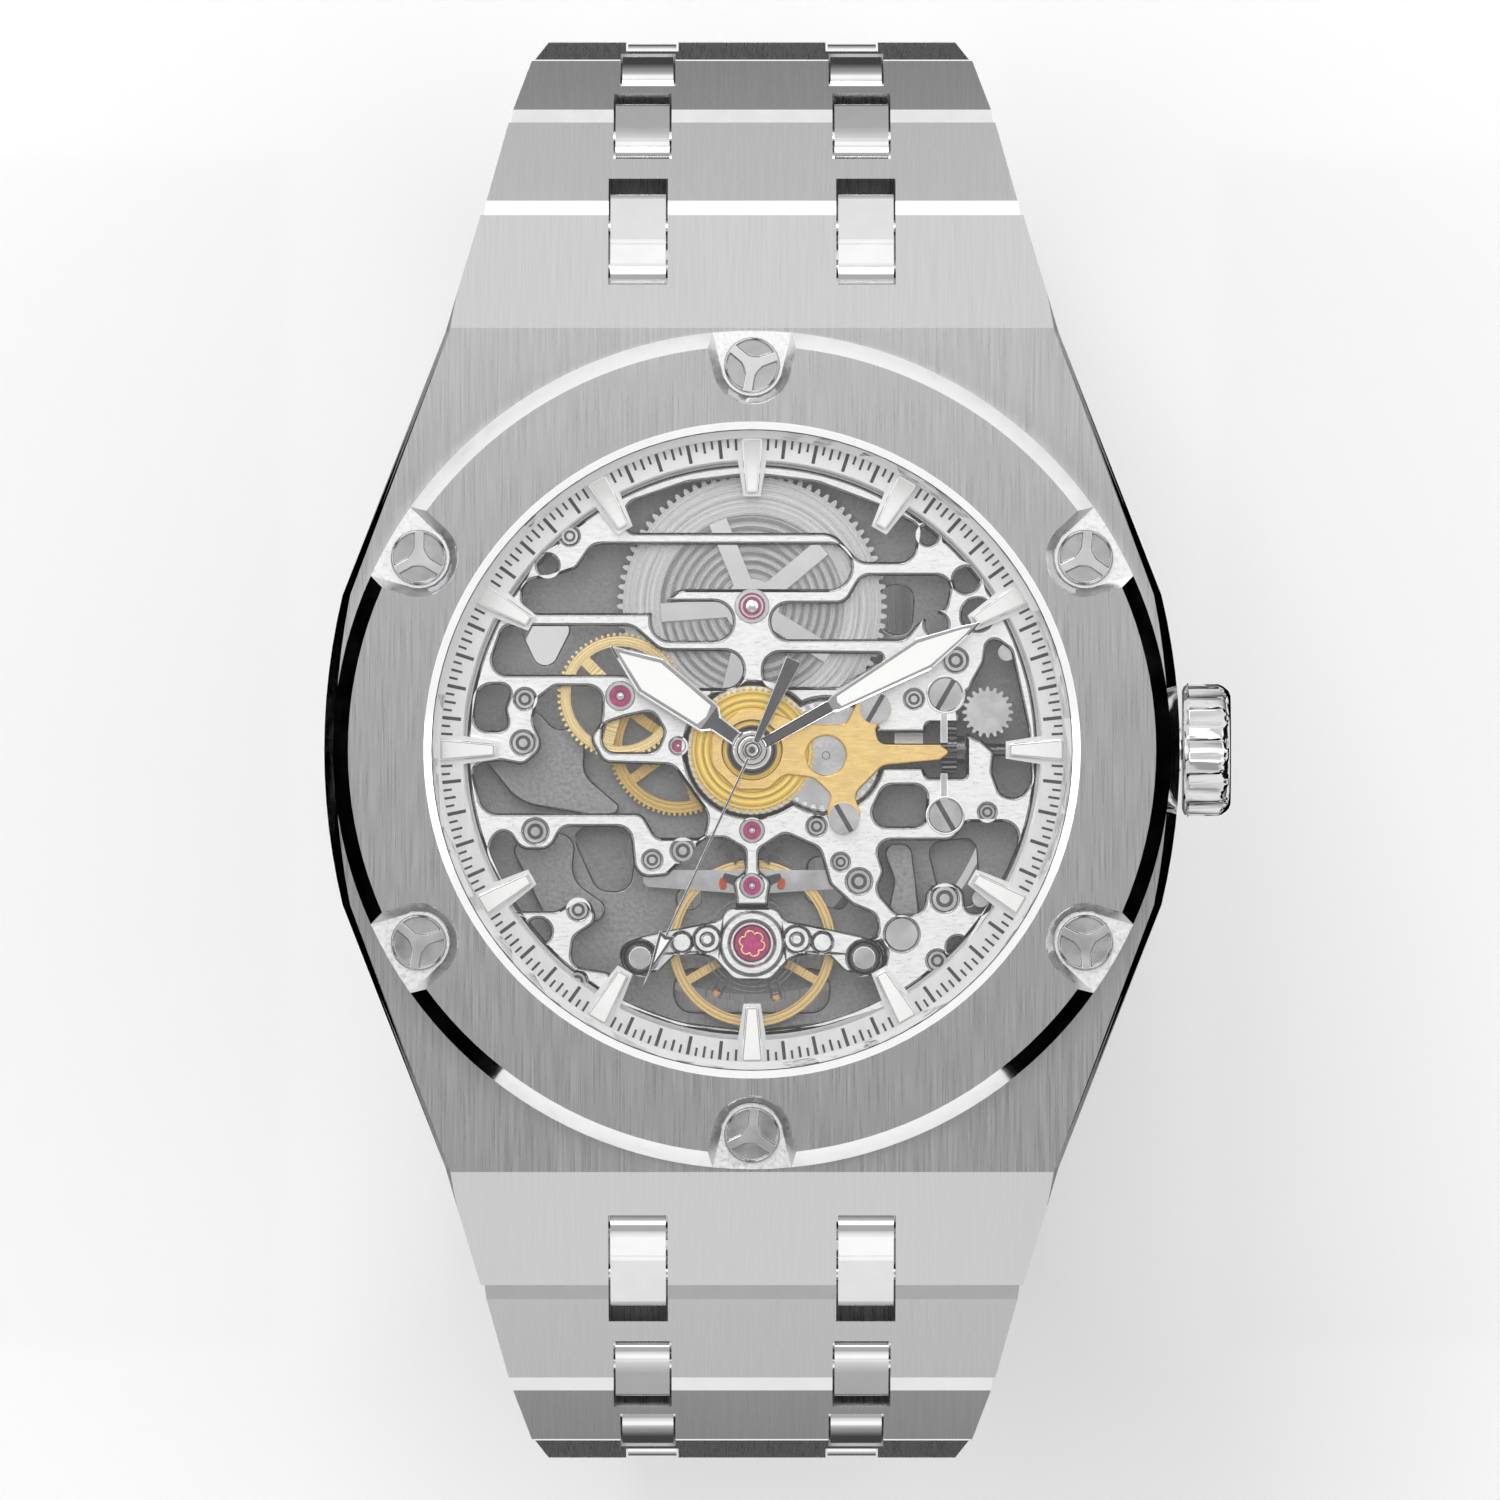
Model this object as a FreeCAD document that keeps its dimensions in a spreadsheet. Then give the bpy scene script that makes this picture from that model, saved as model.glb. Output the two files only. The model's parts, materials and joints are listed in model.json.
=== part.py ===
"""Skeleton wristwatch: case, bezel, automatic movement, hands, crown, bracelet and folding clasp.

Millimetres. +Z points out through the crystal, +Y towards 12 o'clock, +X towards the crown.
The origin is the centre of the case back's outer face, on the axis of the hands.
"""
import FreeCAD, Part
import math
import os
import re
import Sketcher
from FreeCAD import Placement, Rotation, Vector

os.makedirs("parts", exist_ok=True)
doc = FreeCAD.newDocument("SkeletonWristwatch")
sheet = doc.addObject("Spreadsheet::Sheet", "Sizes")

# ---------------------------------------------------------------- driving dimensions
SIZES = {
    # case, from the back (z = 0) to the top of the bezel
    "case_floor": 0.6, "case_deck": 8.6, "case_flank_base": 7.3, "case_half_width": 21.0,
    "case_waist_half": 20.1, "case_waist_reach": 7.6, "case_shoulder_half": 15.05,
    "case_shoulder_reach": 20.5, "case_lug_half": 13.25, "case_lug_reach": 26.6,
    "case_flank_inset": 0.65, "case_bore": 16.2, "case_end_slope": 35.0,
    "bezel_top": 10.4, "bezel_outer": 20.55, "bezel_chamfer": 0.75, "bezel_inner": 16.1,
    "crystal_rad": 15.7, "crystal_floor": 9.2, "crystal_top": 10.5, "gasket_rad": 16.0,
    "screw_circle": 18.87, "screw_head": 1.34, "screw_seat": 9.15, "screw_crown": 9.98,
    "screw_shank": 0.6, "screw_tip": 4.6, "screw_pocket_floor": 9.62,
    "back_rad": 17.4, "back_ring_top": 2.1, "back_window": 12.4, "back_glass_top": 1.0,
    # dial side
    "ring_outer": 15.65, "ring_inner": 14.15, "ring_floor": 7.05, "ring_top": 7.45,
    "tab_reach": 12.45, "marker_outer": 15.35, "marker_inner": 12.6, "marker_top": 7.95,
    # plates of the movement
    "plate_rad": 14.0, "plate_floor": 6.2, "plate_top": 7.0, "motion_floor": 6.55, "cock_floor": 6.55,
    "bridge_rad": 13.9, "bridge_floor": 2.45, "bridge_top": 3.2,
    "holder_rad": 16.15, "holder_floor": 2.3, "holder_top": 6.95,
    # hands
    "hour_hand_floor": 7.95, "minute_hand_floor": 8.3, "seconds_hand_floor": 8.62,
    "hour_reach": 8.7, "minute_reach": 12.9, "seconds_reach": 13.0,
    # winding
    "stem_height": 5.6, "stem_rad": 0.5, "crown_rad": 3.3, "crown_start": 21.12, "crown_end": 23.5,
    # bracelet
    "link_pitch": 7.0, "first_pitch": 8.5, "link_thick": 3.0, "hinge_reach": 1.85,
    "case_hinge_reach": 2.66, "hinge_gap": 0.15, "pin_rad": 0.45, "pin_bore": 0.48,
    "near_bevel": 0.6, "near_bevel_run": 0.8,
    "stud_front": 3.4, "stud_crown": 0.12, "notch_clear": 0.1,
    "blade_thick": 0.9, "blade_half": 4.6,
}
for row, (name, size) in enumerate(SIZES.items(), start=1):
    sheet.set(f"A{row}", name)
    sheet.set(f"B{row}", str(size))
    sheet.setAlias(f"B{row}", name)
doc.recompute()

WORD = re.compile(r"(?<![\w.])(" + "|".join(sorted(SIZES, key=len, reverse=True)) + r")\b")


def bound(expression):
    """The expression with each sheet name written the way other objects refer to it."""
    return WORD.sub(r"Sizes.\1", str(expression))


def value(expression):
    """The number that an expression of sheet names gives."""
    if isinstance(expression, (int, float)):
        return float(expression)
    return float(sheet.evalExpression(bound(expression)))


def turned(x, y, degrees):
    """A point turned about the origin."""
    angle = math.radians(degrees)
    return (x * math.cos(angle) - y * math.sin(angle), x * math.sin(angle) + y * math.cos(angle))


def dial(radius, degrees):
    """A point on the dial, with the angle clockwise from 12 o'clock."""
    return turned(0.0, radius, -degrees)


# ---------------------------------------------------------------- outlines
def rounded(points):
    """Edges of a closed outline of (x, y, corner radius) points."""
    corners = []
    total = len(points)
    for i, (x, y, radius) in enumerate(points):
        here = Vector(x, y, 0)
        before = (Vector(*points[i - 1][:2], 0) - here).normalize()
        after = (Vector(*points[(i + 1) % total][:2], 0) - here).normalize()
        half = before.getAngle(after) / 2
        if radius <= 0 or half > math.radians(89.5):
            corners.append((here, here, here))
            continue
        room = min((Vector(*points[i - 1][:2], 0) - here).Length,
                   (Vector(*points[(i + 1) % total][:2], 0) - here).Length) * 0.49
        trim = min(radius / math.tan(half), room)
        radius = trim * math.tan(half)
        centre = here + (before + after).normalize() * (radius / math.sin(half))
        middle = centre + (here - centre).normalize() * radius
        corners.append((here + before * trim, middle, here + after * trim))
    edges = []
    for i, (start, middle, end) in enumerate(corners):
        if (start - end).Length > 1e-6:
            edges.append(Part.Arc(start, middle, end))
        following = corners[(i + 1) % total][0]
        if (following - end).Length > 1e-6:
            edges.append(Part.LineSegment(end, following))
    return edges


def circle(x, y, radius):
    """A circle that a sketch binds to the sheet."""
    return ("circle", x, y, radius)


def polygon(*points):
    """A closed outline of straight lines that a sketch binds to the sheet."""
    return ("polygon", points)


def curve(edges):
    """A closed outline made of ready edges."""
    return ("curve", edges)


def toothed(teeth, pitch_radius, height=0.8, phase=0.0):
    """The outline of a spur wheel; height is the addendum in modules."""
    module = 2 * pitch_radius / teeth
    tip = pitch_radius + height * module
    root = pitch_radius - (height + 0.25) * module
    shares = ((root, -0.30), (pitch_radius, -0.235), (tip, -0.10), (tip, 0.10),
              (pitch_radius, 0.235), (root, 0.30))
    points = []
    for tooth in range(teeth):
        for radius, share in shares:
            angle = phase + 360.0 * (tooth + share) / teeth
            points.append(Vector(*turned(radius, 0, angle), 0))
    return curve([Part.LineSegment(a, b) for a, b in zip(points, points[1:] + points[:1])])


def windows(count, inner, outer, spoke, phase=0.0):
    """Openings between straight spokes of a wheel."""
    outlines = []
    for i in range(count):
        start = phase + 360.0 * i / count
        half = 180.0 / count
        corner = []
        for radius, side in ((inner, 1), (outer, 1)):
            edge = math.degrees(math.asin(spoke / 2 / radius))
            corner.append((radius, start + edge))
            corner.append((radius, start + 2 * half - edge))
        low_a, low_b, high_a, high_b = (Vector(*turned(r, 0, a), 0) for r, a in corner)
        low_mid = Vector(*turned(inner, 0, start + half), 0)
        high_mid = Vector(*turned(outer, 0, start + half), 0)
        outlines.append(curve([Part.Arc(low_a, low_mid, low_b), Part.LineSegment(low_b, high_b),
                               Part.Arc(high_b, high_mid, high_a), Part.LineSegment(high_a, low_a)]))
    return outlines


# ---------------------------------------------------------------- PartDesign helpers
def body(label, x=0.0, y=0.0, z=0.0, rotation=None):
    """An empty body with its own placement."""
    made = doc.addObject("PartDesign::Body", label)
    made.Label = label
    made.AllowCompound = True
    made.Placement = Placement(Vector(x, y, z), rotation or Rotation())
    return made


def draw(owner, role, offset, outlines):
    """A sketch on an origin plane of the body, at an offset along the plane's normal."""
    sketch = owner.newObject("Sketcher::SketchObject", owner.Label + "_sketch")
    plane = [item for item in owner.Origin.OriginFeatures if item.Role == role][0]
    sketch.AttachmentSupport = [(plane, "")]
    sketch.MapMode = "FlatFace"
    sketch.AttachmentOffset = Placement(Vector(0, 0, value(offset)), Rotation())
    sketch.setExpression("AttachmentOffset.Base.z", bound(offset))
    for outline in outlines:
        if outline[0] == "circle":
            x, y, radius = outline[1:]
            shape = Part.Circle(Vector(value(x), value(y), 0), Vector(0, 0, 1), value(radius))
            index = sketch.addGeometry(shape)
            for kind, target in (("DistanceX", x), ("DistanceY", y)):
                number = sketch.addConstraint(
                    Sketcher.Constraint(kind, -1, 1, index, 3, value(target)))
                sketch.setExpression(f"Constraints[{number}]", bound(target))
            number = sketch.addConstraint(Sketcher.Constraint("Radius", index, value(radius)))
            sketch.setExpression(f"Constraints[{number}]", bound(radius))
        elif outline[0] == "polygon":
            corners = [Vector(value(x), value(y), 0) for x, y in outline[1]]
            first = sketch.GeometryCount
            count = len(corners)
            for i in range(count):
                sketch.addGeometry(Part.LineSegment(corners[i], corners[(i + 1) % count]))
            for i in range(count):
                sketch.addConstraint(
                    Sketcher.Constraint("Coincident", first + i, 2, first + (i + 1) % count, 1))
            for i, (x, y) in enumerate(outline[1]):
                for kind, target in (("DistanceX", x), ("DistanceY", y)):
                    number = sketch.addConstraint(
                        Sketcher.Constraint(kind, -1, 1, first + i, 1, value(target)))
                    sketch.setExpression(f"Constraints[{number}]", bound(target))
        else:
            for edge in outline[1]:
                sketch.addGeometry(edge)
    return sketch


def pad(owner, floor, top, outlines, role="XY_Plane"):
    """Material between two levels."""
    made = owner.newObject("PartDesign::Pad", owner.Label + "_pad")
    made.Profile = draw(owner, role, floor, outlines)
    made.setExpression("Length", bound(f"({top}) - ({floor})"))
    return made


def pocket(owner, floor, top, outlines, role="XY_Plane"):
    """A cut between two levels."""
    made = owner.newObject("PartDesign::Pocket", owner.Label + "_pocket")
    made.Profile = draw(owner, role, floor, outlines)
    made.setExpression("Length", bound(f"({top}) - ({floor})"))
    made.Reversed = True
    return made


def turn(owner, *points):
    """A solid of revolution about Z from (radius, height) points."""
    made = owner.newObject("PartDesign::Revolution", owner.Label + "_turn")
    sketch = draw(owner, "XZ_Plane", 0, [polygon(*points)])
    made.Profile = sketch
    made.ReferenceAxis = (sketch, ["V_Axis"])
    made.Angle = 360
    return made


def around(owner, features, count):
    """The features repeated around Z."""
    pattern = owner.newObject("PartDesign::PolarPattern", owner.Label + "_pattern")
    pattern.Originals = features
    axis = [item for item in owner.Origin.OriginFeatures if item.Role == "Z_Axis"][0]
    pattern.Axis = (axis, [""])
    pattern.Angle = 360
    pattern.Occurrences = count
    owner.Tip = pattern
    return pattern


def group(label, members):
    """Several solids that make one node."""
    made = doc.addObject("Part::Compound", label)
    made.Label = label
    made.Links = members
    return made


nodes = []


def node(made):
    """Registers a finished sub-part."""
    nodes.append(made)
    return made


# ---------------------------------------------------------------- case
BRACELET_SIDES = (("12", Rotation()), ("6", Rotation(Vector(0, 0, 1), 180)))
LINK_TILTS = (50.0, 63.0, 80.0, 95.0, 112.0, 130.0, 150.0)
LINK_HALVES = (13.25, 12.0, 10.9, 10.1, 9.6, 9.3, 9.1, 9.0)
STUD_PLACES = (5.6, 5.4, 5.15, 4.95, 4.8, 4.65, 4.55, 4.5)
STUD_HALVES = (1.36, 1.33, 1.26, 1.2, 1.16, 1.13, 1.1, 1.1)


def along(degrees, run, rise):
    """(y, z) offset of a point run along a direction tilted down, and rise off it."""
    angle = math.radians(degrees)
    return (run * math.cos(angle) + rise * math.sin(angle),
            rise * math.cos(angle) - run * math.sin(angle))


HALF_THICK = value("link_thick") / 2
SLOPE = value("case_end_slope")
CASE_CORNER = (26.3, 4.68)
reach = math.sqrt(value("case_hinge_reach") ** 2 - HALF_THICK ** 2)
step_back = along(SLOPE, -reach, -HALF_THICK)
hinges = [(CASE_CORNER[0] + step_back[0], CASE_CORNER[1] + step_back[1])]
for number, tilt in enumerate(LINK_TILTS):
    pitch = value("first_pitch" if number == 0 else "link_pitch")
    step = along(tilt, pitch, 0)
    hinges.append((hinges[-1][0] + step[0], hinges[-1][1] + step[1]))


def case_outline(inset):
    """The plan of the case: two bowed flanks, straight shoulders and tapering ends."""
    flank_x = value("case_half_width") - inset * 0.85
    waist_x, waist_y = value("case_waist_half") - inset * 0.6, value("case_waist_reach")
    shoulder_x, shoulder_y = value("case_shoulder_half") - inset * 0.3, value("case_shoulder_reach")
    lug_x, lug_y = value("case_lug_half"), value("case_lug_reach")
    upper = [(waist_x, waist_y), (shoulder_x, shoulder_y), (lug_x, lug_y), (-lug_x, lug_y),
             (-shoulder_x, shoulder_y), (-waist_x, waist_y)]
    edges = []
    for side in (1, -1):
        corners = [Vector(side * x, side * y, 0) for x, y in upper]
        below = Vector(side * waist_x, -side * waist_y, 0)
        edges.append(Part.Arc(below, Vector(side * flank_x, 0, 0), corners[0]))
        edges += [Part.LineSegment(a, b) for a, b in zip(corners, corners[1:])]
    return edges


def end_cut(side):
    """What is outside the sloping end of the case, in the YZ plane, on one side."""
    y, z = hinges[0]
    radius = value("case_hinge_reach")
    top_run = math.sqrt(radius ** 2 - HALF_THICK ** 2)
    top = along(SLOPE, top_run, HALF_THICK)
    middle = along(SLOPE, radius, 0)
    low = along(SLOPE, top_run, -HALF_THICK)
    deck = value("case_deck")
    brow_y = y + top[0] - (deck - z - top[1]) / math.tan(math.radians(SLOPE))
    spots = [Vector(y + p[0], z + p[1], 0) for p in (top, middle, low)]
    ring = [Vector(brow_y, deck, 0), *spots, Vector(19.8, value("case_floor"), 0),
            Vector(19.8, -1, 0), Vector(30, -1, 0), Vector(30, deck + 1, 0),
            Vector(brow_y, deck + 1, 0)]
    ring = [Vector(side * p.x, p.y, 0) for p in ring]
    edges = [Part.LineSegment(ring[0], ring[1]), Part.Arc(ring[1], ring[2], ring[3])]
    edges += [Part.LineSegment(a, b) for a, b in zip(ring[3:], ring[4:] + ring[:1])]
    return curve(edges)


def case_notch(side):
    """Side view of the notch that a stud swings in, square to the sloping end."""
    y, z = hinges[0]
    high, foot, out = (along(SLOPE, *p) for p in ((-2.02, 4), (-2.02, -1.6), (8, 4)))
    spots = [(y + high[0], z + high[1]), (y + foot[0], z + foot[1]), (y + foot[0], -1),
             (32, -1), (y + out[0], z + out[1])]
    return polygon(*((side * a, b) for a, b in spots))


def box_outline(x, y, half_x, half_y):
    """A rectangle about a point."""
    return polygon((x - half_x, y - half_y), (x + half_x, y - half_y),
                   (x + half_x, y + half_y), (x - half_x, y + half_y))


def case_middle():
    """The tonneau case with its bored middle, sloping ends and stud notches."""
    made = body("case_middle")
    pad(made, "case_floor", "case_flank_base", [curve(case_outline(0.0))])
    loft = made.newObject("PartDesign::AdditiveLoft", "case_flank")
    loft.Profile = draw(made, "XY_Plane", "case_flank_base", [curve(case_outline(0.0))])
    narrowed = curve(case_outline(value("case_flank_inset")))
    loft.Sections = [draw(made, "XY_Plane", "case_deck", [narrowed])]
    loft.Ruled = True
    pocket(made, "0", "case_deck + 1", [circle(0, 0, "case_bore")])
    pocket(made, "0", "back_ring_top", [circle(0, 0, "back_rad")])
    pocket(made, "screw_tip - 0.05", "case_deck + 1",
           [circle(*dial(value("screw_circle"), 60 * i), "screw_shank") for i in range(6)])
    for side in (1, -1):
        pocket(made, -30, 30, [end_cut(side)], role="YZ_Plane")
        for side_x in (1, -1):
            middle = side_x * STUD_PLACES[0]
            slack = STUD_HALVES[0] + value("notch_clear")
            pocket(made, middle - slack, middle + slack, [case_notch(side)], role="YZ_Plane")
        half = STUD_PLACES[0] + STUD_HALVES[0] + 2.2
        bore = circle(side * hinges[0][0], hinges[0][1], "pin_rad")
        pocket(made, -half, half, [bore], role="YZ_Plane")
    pocket(made, "case_half_width - 6", "case_half_width + 1",
           [circle(0, "stem_height", "stem_rad + 0.62")], role="YZ_Plane")
    return made


def pin(label, half, y, z):
    """A straight bracelet pin along X."""
    made = doc.addObject("Part::Cylinder", label)
    made.setExpression("Radius", "Sizes.pin_rad")
    made.Height = 2 * half
    made.Placement = Placement(Vector(-half, y, z), Rotation(Vector(0, 1, 0), 90))
    return made


case_shell = case_middle()
case_pins = []
for name, spin in BRACELET_SIDES:
    side = 1 if name == "12" else -1
    half = STUD_PLACES[0] + STUD_HALVES[0] + 2.2
    case_pins.append(pin(f"case_pin_at_{name}", half, side * hinges[0][0], hinges[0][1]))
case_shell.Label = "case_shell"
node(group("case_middle", [case_shell] + case_pins))


def screw_pocket_outline(growth):
    """Plan of the recess round a bezel screw at 12 o'clock."""
    centre = value("screw_circle")
    radius = 1.5 + growth
    flare = 2.05 + growth * 0.9
    edge = value("bezel_outer") + 0.4
    side = Vector(radius * 0.985, centre - radius * 0.17, 0)
    other = Vector(-side.x, side.y, 0)
    low = Vector(0, centre - radius, 0)
    return [Part.Arc(other, low, side), Part.LineSegment(side, Vector(flare, edge, 0)),
            Part.LineSegment(Vector(flare, edge, 0), Vector(-flare, edge, 0)),
            Part.LineSegment(Vector(-flare, edge, 0), other)]


def bezel():
    """The round bezel with its chamfer and six flared screw recesses."""
    made = body("bezel")
    turn(made, ("crystal_rad + 0.02", "crystal_floor - 0.25"), ("bezel_outer", "crystal_floor - 0.25"),
         ("bezel_outer", "bezel_top - bezel_chamfer"), ("bezel_outer - bezel_chamfer", "bezel_top"),
         ("bezel_inner", "bezel_top"), ("crystal_rad + 0.02", "bezel_top - 0.28"))
    turn(made, ("case_bore + 0.4", "case_deck"), ("bezel_outer", "case_deck"),
         ("bezel_outer", "crystal_floor - 0.25"), ("case_bore + 0.4", "crystal_floor - 0.25"))
    cut = made.newObject("PartDesign::SubtractiveLoft", "screw_recess")
    cut.Profile = draw(made, "XY_Plane", "screw_pocket_floor", [curve(screw_pocket_outline(0.0))])
    cut.Sections = [draw(made, "XY_Plane", "bezel_top + 0.01", [curve(screw_pocket_outline(0.45))])]
    cut.Ruled = True
    seat = pocket(made, "screw_seat", "bezel_top + 1", [circle(0, "screw_circle", "screw_head + 0.03")])
    shank = pocket(made, "case_deck - 1", "screw_seat", [circle(0, "screw_circle", "screw_shank")])
    around(made, [cut, seat, shank], 6)
    return made


def facet(arm):
    """The dished third of a screw head between two arms of the raised bar."""
    def spot(radius, off, degrees):
        return Vector(*turned(*turned(radius, off, degrees), 120 * arm), 0)

    near, near_rim = spot(0.5, 0.24, 0), spot(1.2, 0.24, 0)
    far, far_rim = spot(0.5, -0.24, 120), spot(1.2, -0.24, 120)
    return curve([Part.LineSegment(near, near_rim), Part.Arc(near_rim, spot(1.24, 0, 60), far_rim),
                  Part.LineSegment(far_rim, far), Part.Arc(far, spot(0.42, 0, 60), near)])


def bezel_screw(i):
    """One screw: a cylindrical head with a raised three-armed bar, and its shank."""
    arms = 265.0 + (60.0 * i if i % 2 else 0.0) + (-5, 0, 8, 0, -6, 4)[i]
    made = body(f"bezel_screw_{i + 1}", *dial(value("screw_circle"), 60 * i), 0,
                Rotation(Vector(0, 0, 1), arms))
    pad(made, "screw_seat", "screw_crown", [circle(0, 0, "screw_head")])
    pad(made, "screw_tip", "screw_seat", [circle(0, 0, "screw_shank")])
    pocket(made, "screw_crown - 0.16", "screw_crown + 0.1", [facet(arm) for arm in range(3)])
    return made


node(bezel())
node(group("bezel_screws", [bezel_screw(i) for i in range(6)]))


def crystal():
    """The flat front glass, with a small polished edge."""
    made = body("crystal")
    turn(made, (0, "crystal_floor"), ("crystal_rad", "crystal_floor"),
         ("crystal_rad", "crystal_top - 0.15"), ("crystal_rad - 0.15", "crystal_top"), (0, "crystal_top"))
    return made


def crystal_gasket():
    """The ring that the crystal sits on."""
    made = body("crystal_gasket")
    turn(made, ("ring_outer - 0.35", "crystal_floor - 0.3"), ("crystal_rad - 0.02", "crystal_floor - 0.3"),
         ("crystal_rad - 0.02", "crystal_floor"), ("ring_outer - 0.35", "crystal_floor"))
    return made


def case_back():
    """The back ring, with six wrench notches, that screws into the case."""
    made = body("case_back")
    turn(made, ("back_window", 0), ("back_rad - 2.2", 0), ("back_rad - 1.2", "case_floor"),
         ("back_rad", "case_floor"), ("back_rad", "back_ring_top"), ("back_window + 1.4", "back_ring_top"),
         ("back_window + 1.4", "back_glass_top + 0.3"), ("back_window", "back_glass_top + 0.3"))
    slot = pocket(made, -0.1, 0.35, [box_outline(0, 14.6, 1.0, 0.5)])
    around(made, [slot], 6)
    return made


def case_back_glass():
    """The window in the back, flush with the ring's outer face."""
    made = body("case_back_glass")
    pad(made, 0, "back_glass_top", [circle(0, 0, "back_window")])
    return made


def crown_tube():
    """The tube in the case flank that the crown's pipe slides in."""
    made = body("crown_tube")
    pad(made, "case_bore", "case_half_width + 0.05",
        [circle(0, "stem_height", "stem_rad + 0.62"), circle(0, "stem_height", "stem_rad + 0.12")],
        role="YZ_Plane")
    return made


def movement_holder(seam_pins):
    """The ring that centres the movement in the case, notched for the pins on its seam."""
    made = body("movement_holder")
    turn(made, ("plate_rad", "holder_floor"), ("holder_rad", "holder_floor"), ("holder_rad", "holder_top"),
         ("plate_rad", "holder_top"))
    pocket(made, 13, 17, [circle(0, "stem_height", "stem_rad + 0.3")], role="YZ_Plane")
    pocket(made, "plate_floor", "holder_top + 0.1", [circle(*spot) for spot in seam_pins])
    return made


for maker in (crystal, crystal_gasket, case_back, case_back_glass, crown_tube):
    node(maker())


# ---------------------------------------------------------------- dial ring and markers
def chapter_ring():
    """The flat minute ring, with a tab under each marker."""
    made = body("chapter_ring")
    turn(made, ("ring_inner", "ring_floor"), ("ring_outer", "ring_floor"), ("ring_outer", "ring_top"),
         ("ring_inner + 0.1", "ring_top"), ("ring_inner", "ring_top - 0.1"))
    tab = pad(made, "ring_floor", "ring_top",
              [polygon((-0.42, "tab_reach"), (0.42, "tab_reach"), (0.72, "ring_inner + 0.2"),
                       (-0.72, "ring_inner + 0.2"))])
    around(made, [tab], 12)
    return made


def hour_markers():
    """Twelve tapered applied markers with rounded corners."""
    made = body("hour_markers")
    outline = rounded([(-0.3, value("marker_inner"), 0.12), (0.3, value("marker_inner"), 0.12),
                       (0.55, value("marker_outer"), 0.2), (-0.55, value("marker_outer"), 0.2)])
    marker = pad(made, "ring_top", "marker_top", [curve(outline)])
    around(made, [marker], 12)
    return made


node(chapter_ring())
node(hour_markers())


# ---------------------------------------------------------------- movement: places and ratios
BARREL = (0.0, 7.06)
THIRD = (-3.63, 0.2)
ESCAPE = (0.0, -3.95)
PALLET = (0.0, -6.67)
BALANCE = (0.0, -9.5)
MOTION = (3.63, -0.27)
REDUCTION = (-6.47, 2.65)
SETTING = (11.57, 1.86)


def distance(a, b):
    """Centre distance of two arbors."""
    return math.hypot(a[0] - b[0], a[1] - b[1])


def meshed(a, b, teeth_a, teeth_b):
    """Pitch radii of two meshing wheels."""
    gap = distance(a, b)
    return gap * teeth_a / (teeth_a + teeth_b), gap * teeth_b / (teeth_a + teeth_b)


CENTRE = (0.0, 0.0)
BARREL_TEETH, CENTRE_PINION_TEETH = 84, 7
CENTRE_TEETH, THIRD_PINION_TEETH = 72, 16
THIRD_TEETH, FOURTH_PINION_TEETH = 80, 6
FOURTH_TEETH, ESCAPE_PINION_TEETH = 72, 12
CANNON_TEETH, MINUTE_WHEEL_TEETH = 15, 36
HOUR_TEETH, MINUTE_PINION_TEETH = 60, 12
barrel_pitch, centre_pinion_pitch = meshed(BARREL, CENTRE, BARREL_TEETH, CENTRE_PINION_TEETH)
centre_pitch, third_pinion_pitch = meshed(CENTRE, THIRD, CENTRE_TEETH, THIRD_PINION_TEETH)
third_pitch, fourth_pinion_pitch = meshed(THIRD, CENTRE, THIRD_TEETH, FOURTH_PINION_TEETH)
fourth_pitch, escape_pinion_pitch = meshed(CENTRE, ESCAPE, FOURTH_TEETH, ESCAPE_PINION_TEETH)
cannon_pitch, minute_wheel_pitch = meshed(CENTRE, MOTION, CANNON_TEETH, MINUTE_WHEEL_TEETH)
hour_pitch, minute_pinion_pitch = meshed(CENTRE, MOTION, HOUR_TEETH, MINUTE_PINION_TEETH)


def heading(a, b):
    """Direction in degrees from one arbor to another."""
    return math.degrees(math.atan2(b[1] - a[1], b[0] - a[0]))


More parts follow.
